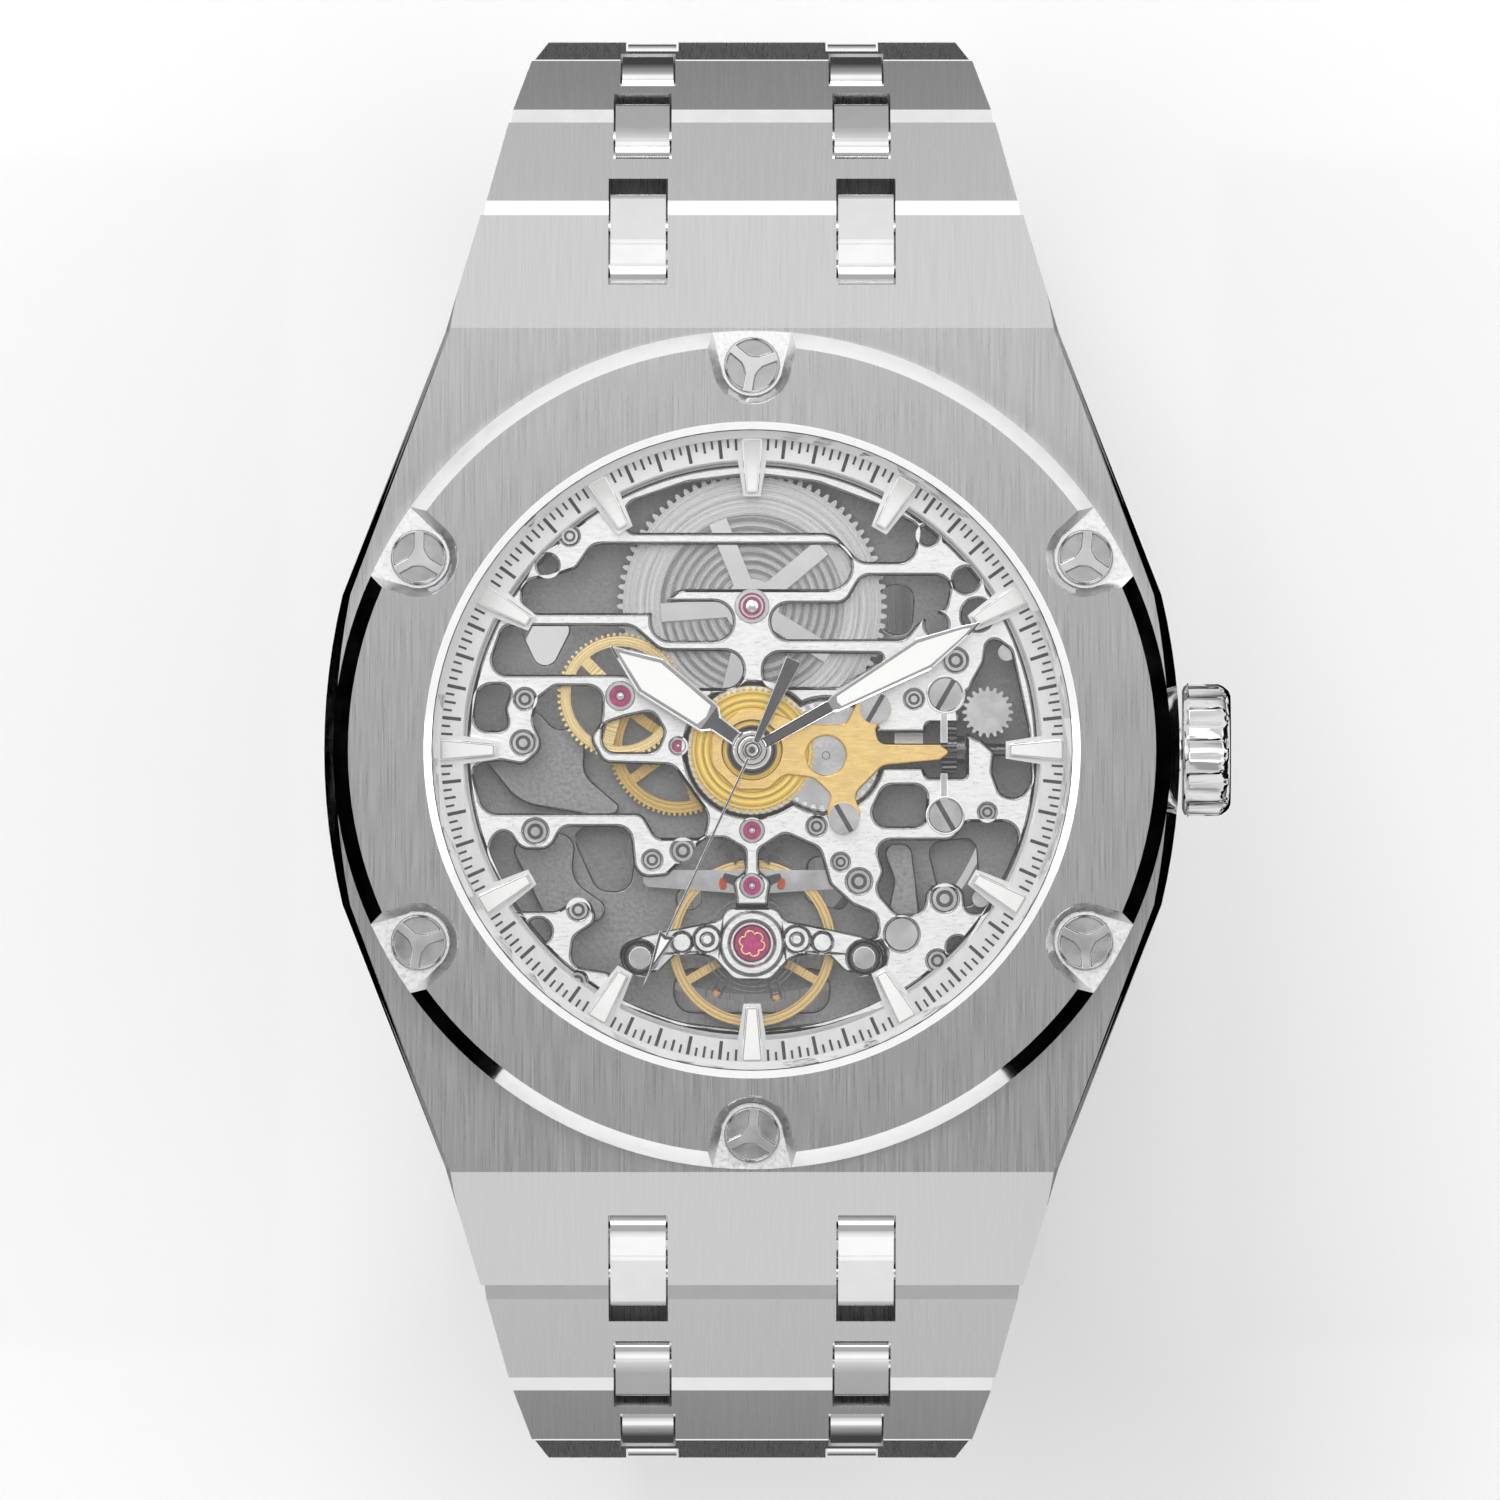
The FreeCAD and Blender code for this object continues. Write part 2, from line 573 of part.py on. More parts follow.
# Openings of the main plate: rounded outlines of (x, y, corner radius).
PLATE_OPENINGS = {
    "over_barrel": [(-6.3, 10.66, 0.5), (4.0, 10.66, 1.2), (5.3, 9.23, 0.9), (7.9, 9.23, 0.8),
                    (8.15, 11.0, 0.5), (6.4, 11.9, 0.4), (3.2, 13.1, 2.0), (0.0, 13.5, 6.0),
                    (-3.2, 13.1, 2.0), (-6.1, 12.1, 0.6)],
    "barrel_window": [(-11.3, 6.72, 0.9), (-4.7, 6.72, 1.2), (-3.7, 7.9, 0.9), (4.85, 7.9, 1.08),
                      (4.85, 10.08, 1.08), (-7.8, 10.08, 0.7), (-8.6, 8.9, 0.6), (-9.9, 8.45, 0.5),
                      (-11.2, 8.35, 0.8)],
    "upper_left_slot": [(-4.95, 5.38, 1.0), (-0.95, 5.38, 1.0), (-0.95, 7.28, 1.0), (-4.95, 7.28, 1.0)],
    "left_of_centre": [(-13.0, 3.7, 0.7), (-6.1, 3.7, 0.5), (-5.2, 3.05, 0.4), (-0.45, 3.05, 0.9),
                       (-0.45, 4.85, 0.9), (-4.5, 4.85, 1.0), (-5.9, 6.08, 0.9), (-12.2, 6.08, 0.5)],
    "far_left": [(-13.65, 0.95, 0.6), (-11.9, 0.95, 0.6), (-12.15, 2.0, 0.5), (-11.7, 3.2, 0.6),
                 (-13.5, 3.2, 0.8)],
    "third_wheel": [(-9.7, 3.12, 0.5), (-7.35, 3.12, 0.7), (-7.4, 1.4, 1.2), (-8.0, 0.6, 0.6),
                    (-7.3, -0.65, 0.7), (-3.9, -0.75, 0.7), (-2.15, -3.2, 0.8), (-2.4, -4.3, 0.4),
                    (-4.7, -4.3, 0.4), (-5.4, -3.11, 0.6), (-13.2, -3.11, 0.9), (-13.75, -0.7, 0.5),
                    (-12.3, -0.55, 0.5), (-11.2, -0.75, 0.6), (-10.2, 0.1, 0.8), (-10.75, 1.4, 0.7),
                    (-10.5, 2.5, 0.5)],
    "reduction": [(-7.35, -0.1, 0.6), (-4.7, -0.1, 0.6), (-4.3, 0.9, 0.4), (-4.9, 1.9, 0.5),
                  (-6.3, 1.6, 0.4), (-7.3, 1.25, 0.4)],
    "upper_right": [(0.95, 5.44, 0.85), (7.5, 5.44, 0.6), (8.1, 6.2, 0.6), (9.5, 6.95, 0.5),
                    (9.85, 8.55, 0.9), (5.4, 8.55, 0.7), (4.6, 7.18, 0.8), (0.95, 7.18, 0.85)],
    "right_of_centre": [(0.58, 3.1, 0.7), (4.2, 3.1, 0.4), (6.9, 4.7, 0.2), (0.58, 4.77, 0.8)],
    "setting": [(11.6, 5.7, 0.5), (12.7, 4.9, 0.4), (13.55, 1.0, 2.0), (13.7, -1.6, 0.8),
                (13.1, -2.4, 0.6), (12.2, -2.2, 0.5), (11.8, -1.1, 0.5), (11.9, -0.1, 0.3),
                (11.0, 0.7, 0.5), (10.55, 2.0, 0.6), (10.8, 3.2, 0.6), (11.4, 4.3, 0.4)],
    "keyless": [(6.2, 0.85, 0.1), (8.5, 0.85, 0.1), (8.6, 1.3, 0.15), (10.5, 1.3, 0.15),
                (10.5, -1.35, 0.15), (8.6, -1.35, 0.15), (8.4, -0.85, 0.1), (6.2, -0.85, 0.1)],
    "click": [(5.55, -3.75, 0.7), (8.45, -3.75, 0.5), (8.6, -1.75, 0.6), (6.5, -1.75, 0.6)],
    "lower_right": [(6.0, -4.45, 0.7), (9.9, -4.45, 0.8), (10.5, -3.55, 0.4), (13.1, -3.55, 0.7),
                    (12.85, -5.9, 0.8), (11.4, -8.0, 0.6), (10.5, -7.95, 0.4), (10.35, -6.5, 0.8),
                    (8.6, -6.6, 0.7), (8.4, -8.0, 0.6), (7.1, -8.05, 0.5), (6.1, -6.9, 0.6),
                    (6.5, -6.0, 0.5)],
    "balance": [(0.35, -4.9, 0.3), (1.6, -4.1, 0.5), (3.3, -4.85, 0.6), (3.8, -6.6, 0.6),
                (4.9, -7.6, 0.5), (6.1, -8.1, 0.6), (6.2, -9.2, 0.4), (4.6, -9.3, 0.3),
                (6.9, -12.3, 0.5), (3.5, -13.35, 2.0), (0.0, -13.75, 6.0), (-3.5, -13.35, 2.0),
                (-6.4, -12.3, 0.5), (-7.0, -10.9, 0.4), (-8.9, -10.6, 0.6), (-8.75, -9.2, 0.6),
                (-7.55, -8.4, 0.6), (-8.1, -7.0, 0.9), (-9.6, -7.9, 0.5), (-11.7, -7.9, 0.5),
                (-13.0, -4.6, 0.9), (-12.1, -3.75, 0.7), (-11.4, -4.9, 0.8), (-9.9, -4.9, 0.8),
                (-9.3, -3.78, 0.6), (-6.0, -3.78, 0.7), (-5.75, -6.3, 0.9), (-4.2, -6.2, 0.5),
                (-2.3, -4.35, 0.6), (-1.3, -4.35, 0.4), (-0.35, -4.9, 0.3), (-0.35, -5.95, 0.3),
                (-0.95, -6.4, 0.4), (-0.8, -7.3, 0.3), (-0.8, -8.4, 0.3), (0.8, -8.4, 0.3),
                (0.8, -7.3, 0.3), (0.95, -6.4, 0.4), (0.35, -5.95, 0.3)],
    "upper_right_round": [(10.3, 5.9, 0.6), (11.7, 5.9, 0.6), (11.8, 7.4, 0.7), (10.35, 7.4, 0.7)],
}
# Round holes of the main plate (x, y, radius), and where pins or screws fill some of them.
PLATE_HOLES = ((-10.03, 9.07, 0.49), (8.66, 10.55, 0.47), (10.52, 8.34, 0.62), (9.05, 6.15, 0.55),
               (-10.49, -8.91, 0.62), (10.1, -9.68, 0.5))
PLATE_PINS = ((-11.15, 2.5, 0.45), (-11.24, 0.35, 0.52), (-10.64, -4.0, 0.55), (-4.9, -5.4, 0.4),
              (-3.4, -4.95, 0.5), (-8.53, -7.85, 0.45), (-8.58, -11.35, 0.42), (3.17, -3.75, 0.4),
              (4.35, -5.5, 0.36), (5.25, -6.45, 0.55), (7.35, -9.05, 0.78), (11.55, -3.05, 0.36),
              (9.46, -7.3, 0.6), (10.0, 4.4, 0.52), (7.95, 2.5, 0.4), (-8.95, 10.5, 0.4),
              (9.1, -10.34, 0.45))
SLOTTED = ((9.5, 2.72, 0.8), (9.5, -3.22, 0.8))
BRIDGE_SCREWS = ((6.05, 2.05, 0.76), (4.5, -3.35, 0.76))
COCK_FOOT = (5.5, -10.25)
JEWELS = {"barrel": (*BARREL, 0.7), "reduction": (*REDUCTION, 0.58), "third": (*THIRD, 0.33),
          "escape": (*ESCAPE, 0.48), "pallet": (*PALLET, 0.48)}


def cock_outline(growth):
    """Plan of the winged bridge over the balance, grown for the recess that it sits in."""
    half = [(0.9, -11.3, 0.7), (1.9, -10.2, 0.6), (3.6, -9.9, 0.6), (4.6, -10.9, 0.5),
            (6.3, -11.0, 0.7), (6.6, -9.6, 0.7), (5.4, -9.15, 0.5), (3.6, -8.75, 0.6),
            (1.6, -8.35, 0.4), (1.2, -7.75, 0.7)]
    grown = []
    for x, y, radius in half:
        across = x - (5.5 if x > 4 else 0)
        grown.append((x + math.copysign(growth, across), y + math.copysign(growth, y + 9.7), radius))
    return grown + [(-x, y, radius) for x, y, radius in reversed(grown)]


def mainplate():
    """The skeletonised front plate."""
    made = body("mainplate")
    pad(made, "plate_floor", "plate_top", [circle(0, 0, "plate_rad")])
    for outline in PLATE_OPENINGS.values():
        pocket(made, "plate_floor - 0.1", "plate_top + 0.1", [curve(rounded(outline))])
    pocket(made, "motion_floor", "plate_top + 0.1", [circle(0, 0, 3.3)])
    pocket(made, "motion_floor", "plate_top + 0.1", [circle(*MOTION, minute_wheel_pitch + 0.25)])
    bores = [circle(x, y, radius) for x, y, radius in PLATE_HOLES + PLATE_PINS + SLOTTED]
    bores += [circle(x, y, 0.4) for x, y, radius in BRIDGE_SCREWS]
    bores += [circle(*spot) for spot in JEWELS.values()]
    bores += [circle(side * COCK_FOOT[0], COCK_FOOT[1], 0.62) for side in (1, -1)]
    bores += [circle(0, 0, 0.85), circle(*MOTION, 0.17)]
    pocket(made, "plate_floor - 0.1", "plate_top + 0.1", bores)
    pocket(made, "plate_floor - 0.1", "plate_top + 0.1", [circle(*SETTING, 1.42)])
    pocket(made, "cock_floor - 0.05", "plate_top + 0.1", [curve(rounded(cock_outline(0.1)))])
    return made


def plate_jewels():
    """Ruby bearings pressed into the main plate, each with an oil cup."""
    made = body("plate_jewels")
    for name, (x, y, radius) in JEWELS.items():
        pad(made, "plate_floor", "plate_top - 0.08", [circle(x, y, radius), circle(x, y, 0.14)])
    cups = [circle(x, y, radius * 0.5) for x, y, radius in JEWELS.values()]
    pocket(made, "plate_top - 0.2", "plate_top", cups)
    return made


def movement_pins():
    """Steady pins and domed screws seated in the main plate."""
    made = body("movement_pins")
    for x, y, radius in PLATE_PINS:
        pad(made, "plate_floor", "plate_top - 0.12", [circle(x, y, radius)])
    rims = [circle(x, y, radius * 0.72) for x, y, radius in PLATE_PINS if radius < 0.7]
    pocket(made, "plate_top - 0.3", "plate_top", rims)
    for x, y, radius in PLATE_PINS:
        if radius < 0.7:
            pad(made, "plate_top - 0.35", "plate_top - 0.2", [circle(x, y, radius * 0.4)])
    return made


def slotted_screws():
    """Flat slotted screws: two beside the keyless works, two on the motion bridge, two on the cock."""
    made = body("slotted_screws")
    slots = []
    for x, y, radius in SLOTTED:
        pad(made, "plate_floor", "plate_top + 0.1", [circle(x, y, radius)])
        slots.append((x, y, radius, "plate_top + 0.1"))
    for x, y, radius in BRIDGE_SCREWS:
        pad(made, "plate_floor", "plate_top + 0.27", [circle(x, y, 0.4)])
        pad(made, "plate_top + 0.27", "plate_top + 0.5", [circle(x, y, radius)])
        slots.append((x, y, radius, "plate_top + 0.5"))
    for i, (x, y, radius, top) in enumerate(slots):
        lean = (-30, 30, -30, 30)[i]
        corners = [turned(*p, 90 + lean) for p in ((-1, -0.12), (1, -0.12), (1, 0.12), (-1, 0.12))]
        pocket(made, f"{top} - 0.12", f"{top} + 0.1", [polygon(*((x + a, y + b) for a, b in corners))])
    return made


# Openings of the rear bridge that let light through, as rounded outlines.
BRIDGE_OPENINGS = (
    [(-11.6, 6.4, 0.5), (-8.7, 6.4, 0.5), (-10.2, 3.4, 0.6)],
    [(-9.0, -3.8, 0.6), (-5.6, -3.8, 0.6), (-6.0, -7.0, 0.8), (-7.6, -6.9, 0.8)],
    [(8.6, -4.6, 0.6), (11.0, -4.3, 0.6), (11.2, -7.6, 0.7), (9.4, -7.8, 0.7)],
    [(6.2, 8.0, 0.7), (8.0, 8.2, 0.7), (7.8, 5.6, 0.7), (6.4, 5.8, 0.7)],
    [(-3.0, 10.4, 0.8), (3.0, 10.4, 0.8), (3.4, 12.2, 0.8), (-3.4, 12.2, 0.8)],
    [(-3.8, -10.8, 0.9), (-3.8, -12.9, 0.9), (3.8, -12.9, 0.9), (3.8, -10.8, 0.9)],
    [(2.8, -5.2, 0.5), (5.2, -5.6, 0.5), (4.6, -7.9, 0.5), (2.6, -7.4, 0.5)],
    [(2.4, 3.8, 0.6), (5.4, 4.4, 0.6), (5.0, 2.4, 0.5), (3.0, 2.2, 0.5)],
    [(-2.6, -6.0, 0.6), (-4.2, -7.6, 0.6), (-2.4, -8.0, 0.6)],
)
REAR_BEARINGS = (BARREL, THIRD, ESCAPE, BALANCE, REDUCTION)


def rear_bridge():
    """The frosted bridge that carries the rear pivots and the rotor."""
    made = body("rear_bridge")
    pad(made, "bridge_floor", "bridge_top", [circle(0, 0, "bridge_rad")])
    openings = [curve(rounded(outline)) for outline in BRIDGE_OPENINGS]
    openings += [circle(x, y, 0.14) for x, y in REAR_BEARINGS]
    openings.append(circle(0, 0, 1.2))
    pocket(made, "bridge_floor - 0.1", "bridge_top + 0.1", openings)
    return made


def setting_bridge():
    """A frosted spring plate under the lower left of the main plate."""
    made = body("setting_bridge")
    outline = rounded([(-13.3, -0.3, 0.5), (-11.0, 2.4, 1.0), (-9.6, 0.9, 0.8), (-8.1, 1.4, 0.8),
                       (-8.3, -1.2, 1.2), (-6.2, -3.0, 1.0), (-7.4, -3.3, 0.5), (-11.5, -2.6, 2.5)])
    pad(made, "bridge_top", "bridge_top + 1.4", [curve(outline)])
    far = rounded([(-12.0, -4.5, 0.6), (-8.6, -3.9, 0.8), (-8.9, -6.4, 1.4), (-6.4, -8.1, 0.6),
                   (-9.8, -9.0, 0.8)])
    pad(made, "bridge_top", "bridge_top + 1.0", [curve(far)])
    right = rounded([(6.3, -4.6, 0.5), (7.8, -4.6, 0.5), (8.3, -8.4, 0.5), (6.6, -8.3, 0.5),
                     (7.0, -6.4, 1.0)])
    pad(made, "bridge_top", "bridge_top + 2.2", [curve(right)])
    return made


def pillars():
    """Pillars and screws that hold the two plates apart."""
    made = body("pillars")
    places = [dial(13.4, degrees) for degrees in (44, 69, 123, 255, 299, 326)]
    pad(made, "bridge_top", "plate_floor", [circle(x, y, 0.42) for x, y in places])
    return made


node(movement_holder([spot for spot in PLATE_PINS if math.hypot(*spot[:2]) + spot[2] > value("plate_rad")]))
for maker in (mainplate, rear_bridge, setting_bridge):
    node(maker())
node(group("movement_screws", [movement_pins(), slotted_screws(), pillars()]))


# ---------------------------------------------------------------- going train
def arbor(made, floor, top, radius, pivot=0.12):
    """A staff with a thinner pivot at each end."""
    pad(made, floor, top, [circle(0, 0, radius)])
    pad(made, "bridge_floor + 0.1", floor, [circle(0, 0, pivot)])
    return made


def barrel():
    """The toothed drum with a spoked front cover."""
    made = body("barrel", *BARREL)
    phase = heading(BARREL, CENTRE)
    pad(made, 4.3, 4.7, [toothed(BARREL_TEETH, barrel_pitch, 0.8, phase), circle(0, 0, 0.55)])
    pad(made, 4.7, 5.3, [circle(0, 0, 5.85), circle(0, 0, 5.25)])
    cover = [circle(0, 0, 5.85)] + windows(5, 1.35, 4.5, 0.9, 40) + [circle(0, 0, 0.55)]
    pad(made, 5.3, 5.42, cover)
    pad(made, 4.3, 5.3, [circle(0, 0, 1.0), circle(0, 0, 0.55)])
    return made


def mainspring():
    """The coiled spring in the drum, as a spiral strip."""
    made = doc.addObject("Part::Feature", "mainspring")
    made.Label = "mainspring"
    strip = 0.16
    turns, steps_per_turn = 9, 24
    inner, outer = 1.15, 4.95
    inside, outside = [], []
    for step in range(turns * steps_per_turn + 1):
        share = step / (turns * steps_per_turn)
        radius = inner + (outer - inner) * share
        angle = 360.0 * step / steps_per_turn
        inside.append(Vector(*turned(radius, 0, angle), 4.75))
        outside.append(Vector(*turned(radius + strip, 0, angle), 4.75))
    rim = Part.BSplineCurve()
    rim.interpolate(inside)
    far_rim = Part.BSplineCurve()
    far_rim.interpolate(outside)
    wire = Part.Wire([rim.toShape(), Part.LineSegment(inside[-1], outside[-1]).toShape(),
                      far_rim.toShape(), Part.LineSegment(outside[0], inside[0]).toShape()])
    made.Shape = Part.Face(wire).extrude(Vector(0, 0, 0.5))
    made.Placement = Placement(Vector(*BARREL, 0), Rotation())
    return made


def ratchet_wheel():
    """The ratchet wheel on the barrel arbor, behind the drum, with its square."""
    made = body("ratchet_wheel", *BARREL)
    pad(made, 3.6, 3.8, [toothed(48, 4.2, 0.7), *windows(4, 1.2, 3.5, 0.8, 45)])
    pad(made, 3.8, 6.15, [circle(0, 0, 0.5)])
    pad(made, 6.15, "plate_top - 0.25", [circle(0, 0, 0.12)])
    pad(made, "bridge_floor + 0.1", 3.6, [circle(0, 0, 0.12)])
    return made


def centre_wheel():
    """Centre wheel, its pinion, and the cannon pinion that carries the minute hand."""
    made = body("centre_wheel")
    bore = circle(0, 0, 0.2)
    phase = heading(CENTRE, THIRD)
    pinion_phase = heading(CENTRE, BARREL) + 180.0 / CENTRE_PINION_TEETH
    pad(made, 4.25, 4.75, [toothed(CENTRE_PINION_TEETH, centre_pinion_pitch, 0.8, pinion_phase), bore])
    pad(made, 4.75, 6.6, [circle(0, 0, 0.36), bore])
    pad(made, 5.8, 5.98, [toothed(CENTRE_TEETH, centre_pitch, 0.8, phase), *windows(4, 0.75, 2.3, 0.5, 20),
                          bore])
    cannon_phase = heading(CENTRE, MOTION)
    pad(made, 6.6, 6.78, [toothed(CANNON_TEETH, cannon_pitch, 0.8, cannon_phase), bore])
    pad(made, 6.78, "minute_hand_floor", [circle(0, 0, 0.36), bore])
    return made


def third_wheel():
    """Gilt third wheel and its pinion."""
    made = body("third_wheel", *THIRD)
    phase = heading(THIRD, CENTRE)
    arbor(made, 3.5, 6.1, 0.2)
    pad(made, 3.92, 4.06, [toothed(THIRD_TEETH, third_pitch, 0.8, phase), *windows(5, 0.6, 2.75, 0.5, 0)])
    pinion_phase = phase + 180.0 / THIRD_PINION_TEETH
    pad(made, 5.7, 6.08, [toothed(THIRD_PINION_TEETH, third_pinion_pitch, 0.8, pinion_phase)])
    pad(made, 6.08, "plate_top - 0.22", [circle(0, 0, 0.12)])
    return made


def fourth_wheel():
    """Fourth wheel and the long arbor that carries the seconds hand."""
    made = body("fourth_wheel")
    phase = heading(CENTRE, ESCAPE)
    wheel = toothed(FOURTH_TEETH, fourth_pitch, 0.8, phase)
    pad(made, 3.3, 3.45, [wheel, *windows(4, 0.6, 2.75, 0.45, 45)])
    pinion_phase = heading(CENTRE, THIRD) + 180.0 / FOURTH_PINION_TEETH
    pad(made, 3.45, 4.15, [toothed(FOURTH_PINION_TEETH, fourth_pinion_pitch, 0.7, pinion_phase)])
    pad(made, 4.15, "seconds_hand_floor", [circle(0, 0, 0.14)])
    pad(made, "bridge_floor + 0.3", 3.3, [circle(0, 0, 0.3)])
    return made


def centre_bearing():
    """The rear bearing of the fourth arbor, set in the middle of the rear bridge."""
    made = body("centre_bearing")
    pad(made, "bridge_floor", "bridge_top", [circle(0, 0, 1.2), circle(0, 0, 0.34)])
    return made


def centre_bush():
    """The bush in the main plate that the centre tube turns in."""
    made = body("centre_bush")
    pad(made, "plate_floor", "motion_floor", [circle(0, 0, 0.85), circle(0, 0, 0.38)])
    return made


def pallet_bridge():
    """The low bar, on two feet, that carries the rear pivot of the pallet fork."""
    made = body("pallet_bridge")
    bar = rounded([(-5.5, -6.7, 0.35), (-5.1, -5.9, 0.35), (5.8, -5.9, 0.35), (6.15, -6.7, 0.35),
                   (0.6, -7.05, 0.3), (-0.6, -7.05, 0.3)])
    pad(made, 4.56, 4.8, [curve(bar), circle(*PALLET, 0.14)])
    pad(made, "bridge_top", 4.56, [circle(-5.0, -6.35, 0.35), circle(5.7, -6.35, 0.35)])
    return made


def escape_wheel():
    """Escape wheel with hooked teeth, and its pinion."""
    made = body("escape_wheel", *ESCAPE)
    arbor(made, 3.3, 6.1, 0.16)
    pinion_phase = heading(ESCAPE, CENTRE) + 180.0 / ESCAPE_PINION_TEETH
    pad(made, 3.32, 3.6, [toothed(ESCAPE_PINION_TEETH, escape_pinion_pitch, 0.8, pinion_phase)])
    points = []
    teeth = 20
    for tooth in range(teeth):
        for radius, share in ((1.45, 0.0), (1.85, 0.42), (1.88, 0.6), (1.5, 0.62)):
            points.append(Vector(*turned(radius, 0, 360.0 * (tooth + share) / teeth), 0))
    ring = curve([Part.LineSegment(a, b) for a, b in zip(points, points[1:] + points[:1])])
    pad(made, 5.0, 5.14, [ring, *windows(4, 0.45, 1.15, 0.3, 45)])
    pad(made, 6.1, "plate_top - 0.22", [circle(0, 0, 0.12)])
    return made


def pallet_fork():
    """The lever with its two stones, and the notch that takes the impulse pin."""
    made = body("pallet_fork", *PALLET)
    pad(made, 4.58, 4.85, [circle(0, 0, 0.12)])
    pad(made, 4.85, 6.1, [circle(0, 0, 0.16)])
    lever = rounded([(-1.35, 0.62, 0.05), (-1.5, 0.3, 0.1), (-0.3, -0.3, 0.15), (-0.16, -1.75, 0.1),
                     (-0.42, -2.25, 0.05), (-0.2, -2.3, 0.0), (-0.16, -2.0, 0.0), (0.16, -2.0, 0.0),
                     (0.2, -2.3, 0.0), (0.42, -2.25, 0.05), (0.16, -1.75, 0.1), (0.3, -0.3, 0.15),
                     (1.5, 0.3, 0.1), (1.35, 0.62, 0.05), (0.0, 0.3, 0.2)])
    pad(made, 4.95, 5.15, [curve(lever)])
    pad(made, 6.1, "plate_top - 0.22", [circle(0, 0, 0.12)])
    return made


def balance_wheel():
    """Gilt balance rim with three arms, its staff and roller."""
    made = body("balance_wheel", *BALANCE)
    pad(made, 4.1, 4.5, [circle(0, 0, 4.1), *windows(3, 0.6, 3.62, 0.42, -30)])
    arbor(made, 3.7, 6.45, 0.18)
    pad(made, 6.45, 6.8, [circle(0, 0, 0.12)])
    pad(made, 4.9, 5.05, [circle(0, 0, 0.42)])
    pad(made, 5.6, 5.8, [circle(0, 0, 0.42)])
    return made


def hairspring():
    """The balance spring: a flat spiral from the collet to the stud."""
    made = doc.addObject("Part::Feature", "hairspring")
    made.Label = "hairspring"
    strip = 0.05
    turns, steps_per_turn = 8, 20
    inside, outside = [], []
    for step in range(turns * steps_per_turn + 1):
        radius = 0.5 + 1.9 * step / (turns * steps_per_turn)
        angle = 360.0 * step / steps_per_turn
        inside.append(Vector(*turned(radius, 0, angle), 5.62))
        outside.append(Vector(*turned(radius + strip, 0, angle), 5.62))
    rim = Part.BSplineCurve()
    rim.interpolate(inside)
    far_rim = Part.BSplineCurve()
    far_rim.interpolate(outside)
    wire = Part.Wire([rim.toShape(), Part.LineSegment(inside[-1], outside[-1]).toShape(),
                      far_rim.toShape(), Part.LineSegment(outside[0], inside[0]).toShape()])
    made.Shape = Part.Face(wire).extrude(Vector(0, 0, 0.14))
    made.Placement = Placement(Vector(*BALANCE, 0), Rotation())
    return made


def balance_bridge():
    """The winged bridge over the balance, with the seat of the shock setting."""
    made = body("balance_bridge")
    pad(made, "cock_floor", "plate_top", [curve(rounded(cock_outline(0)))])
    pad(made, 7.0, 7.22, [circle(*BALANCE, 1.55)])
    for side in (-1, 1):
        pad(made, 7.0, 7.14, [circle(side * 5.5, -10.2, 0.84)])
        pad(made, 7.0, 7.1, [circle(side * 2.2, -9.3, 0.66), circle(side * 3.45, -9.45, 0.5)])
        pad(made, "bridge_top", "cock_floor", [circle(side * COCK_FOOT[0], COCK_FOOT[1], 0.6)])
    pad(made, 5.62, "cock_floor", [circle(BALANCE[0] + 2.43, BALANCE[1], 0.1)])
    pocket(made, 6.9, 7.4, [circle(*BALANCE, 1.12)])
    pocket(made, 6.5, 7.4, [circle(*BALANCE, 0.85)])
    pocket(made, 6.9, 7.4, [circle(side * 5.5, -10.2, 0.64) for side in (-1, 1)])
    pocket(made, 6.95, 7.4, [circle(side * 2.2, -9.3, 0.3) for side in (-1, 1)])
    return made


def shock_setting():
    """Cap jewel of the balance with the chaton that holds it."""
    made = body("shock_setting", *BALANCE)
    pad(made, 6.5, 6.85, [circle(0, 0, 0.85), circle(0, 0, 0.14)])
    pad(made, 6.85, 7.05, [circle(0, 0, 0.62)])
    return made


def cock_screws():
    """Two screws that hold the balance bridge."""
    made = body("cock_screws")
    for side in (-1, 1):
        pad(made, 6.9, 7.08, [circle(side * 5.5, -10.2, 0.5)])
    pocket(made, 7.0, 7.2, [circle(side * 5.5, -10.2, 0.2) for side in (-1, 1)])
    return made


def reduction_wheel():
    """Gilt spoked wheel of the automatic winding."""
    made = body("reduction_wheel", *REDUCTION)
    arbor(made, 4.3, 6.1, 0.22)
    pad(made, 5.6, 5.76, [toothed(64, 3.04, 0.8), *windows(3, 0.75, 2.45, 0.55, 15)])
    pad(made, 6.1, "plate_top - 0.22", [circle(0, 0, 0.12)])
    return made


# ---------------------------------------------------------------- motion work and hands
def hour_wheel():
    """Brass hour wheel and its tube."""
    made = body("hour_wheel")
    phase = heading(CENTRE, MOTION)
    bore = circle(0, 0, 0.4)
    pad(made, 6.83, 6.98, [toothed(HOUR_TEETH, hour_pitch, 0.8, phase), bore])
    pad(made, 6.98, "hour_hand_floor", [circle(0, 0, 0.62), bore])
    return made


def minute_wheel():
    """Steel minute wheel and its pinion, between cannon pinion and hour wheel."""
    made = body("minute_wheel", *MOTION)
    phase = heading(MOTION, CENTRE) + 180.0 / MINUTE_WHEEL_TEETH
    wheel = toothed(MINUTE_WHEEL_TEETH, minute_wheel_pitch, 0.8, phase)
    pad(made, 6.6, 6.74, [wheel, circle(0, 0, 0.2)])
    pinion_phase = heading(MOTION, CENTRE) + 180.0 / MINUTE_PINION_TEETH
    pad(made, 6.74, 7.05, [toothed(MINUTE_PINION_TEETH, minute_pinion_pitch, 0.8, pinion_phase),
                           circle(0, 0, 0.2)])
    return made


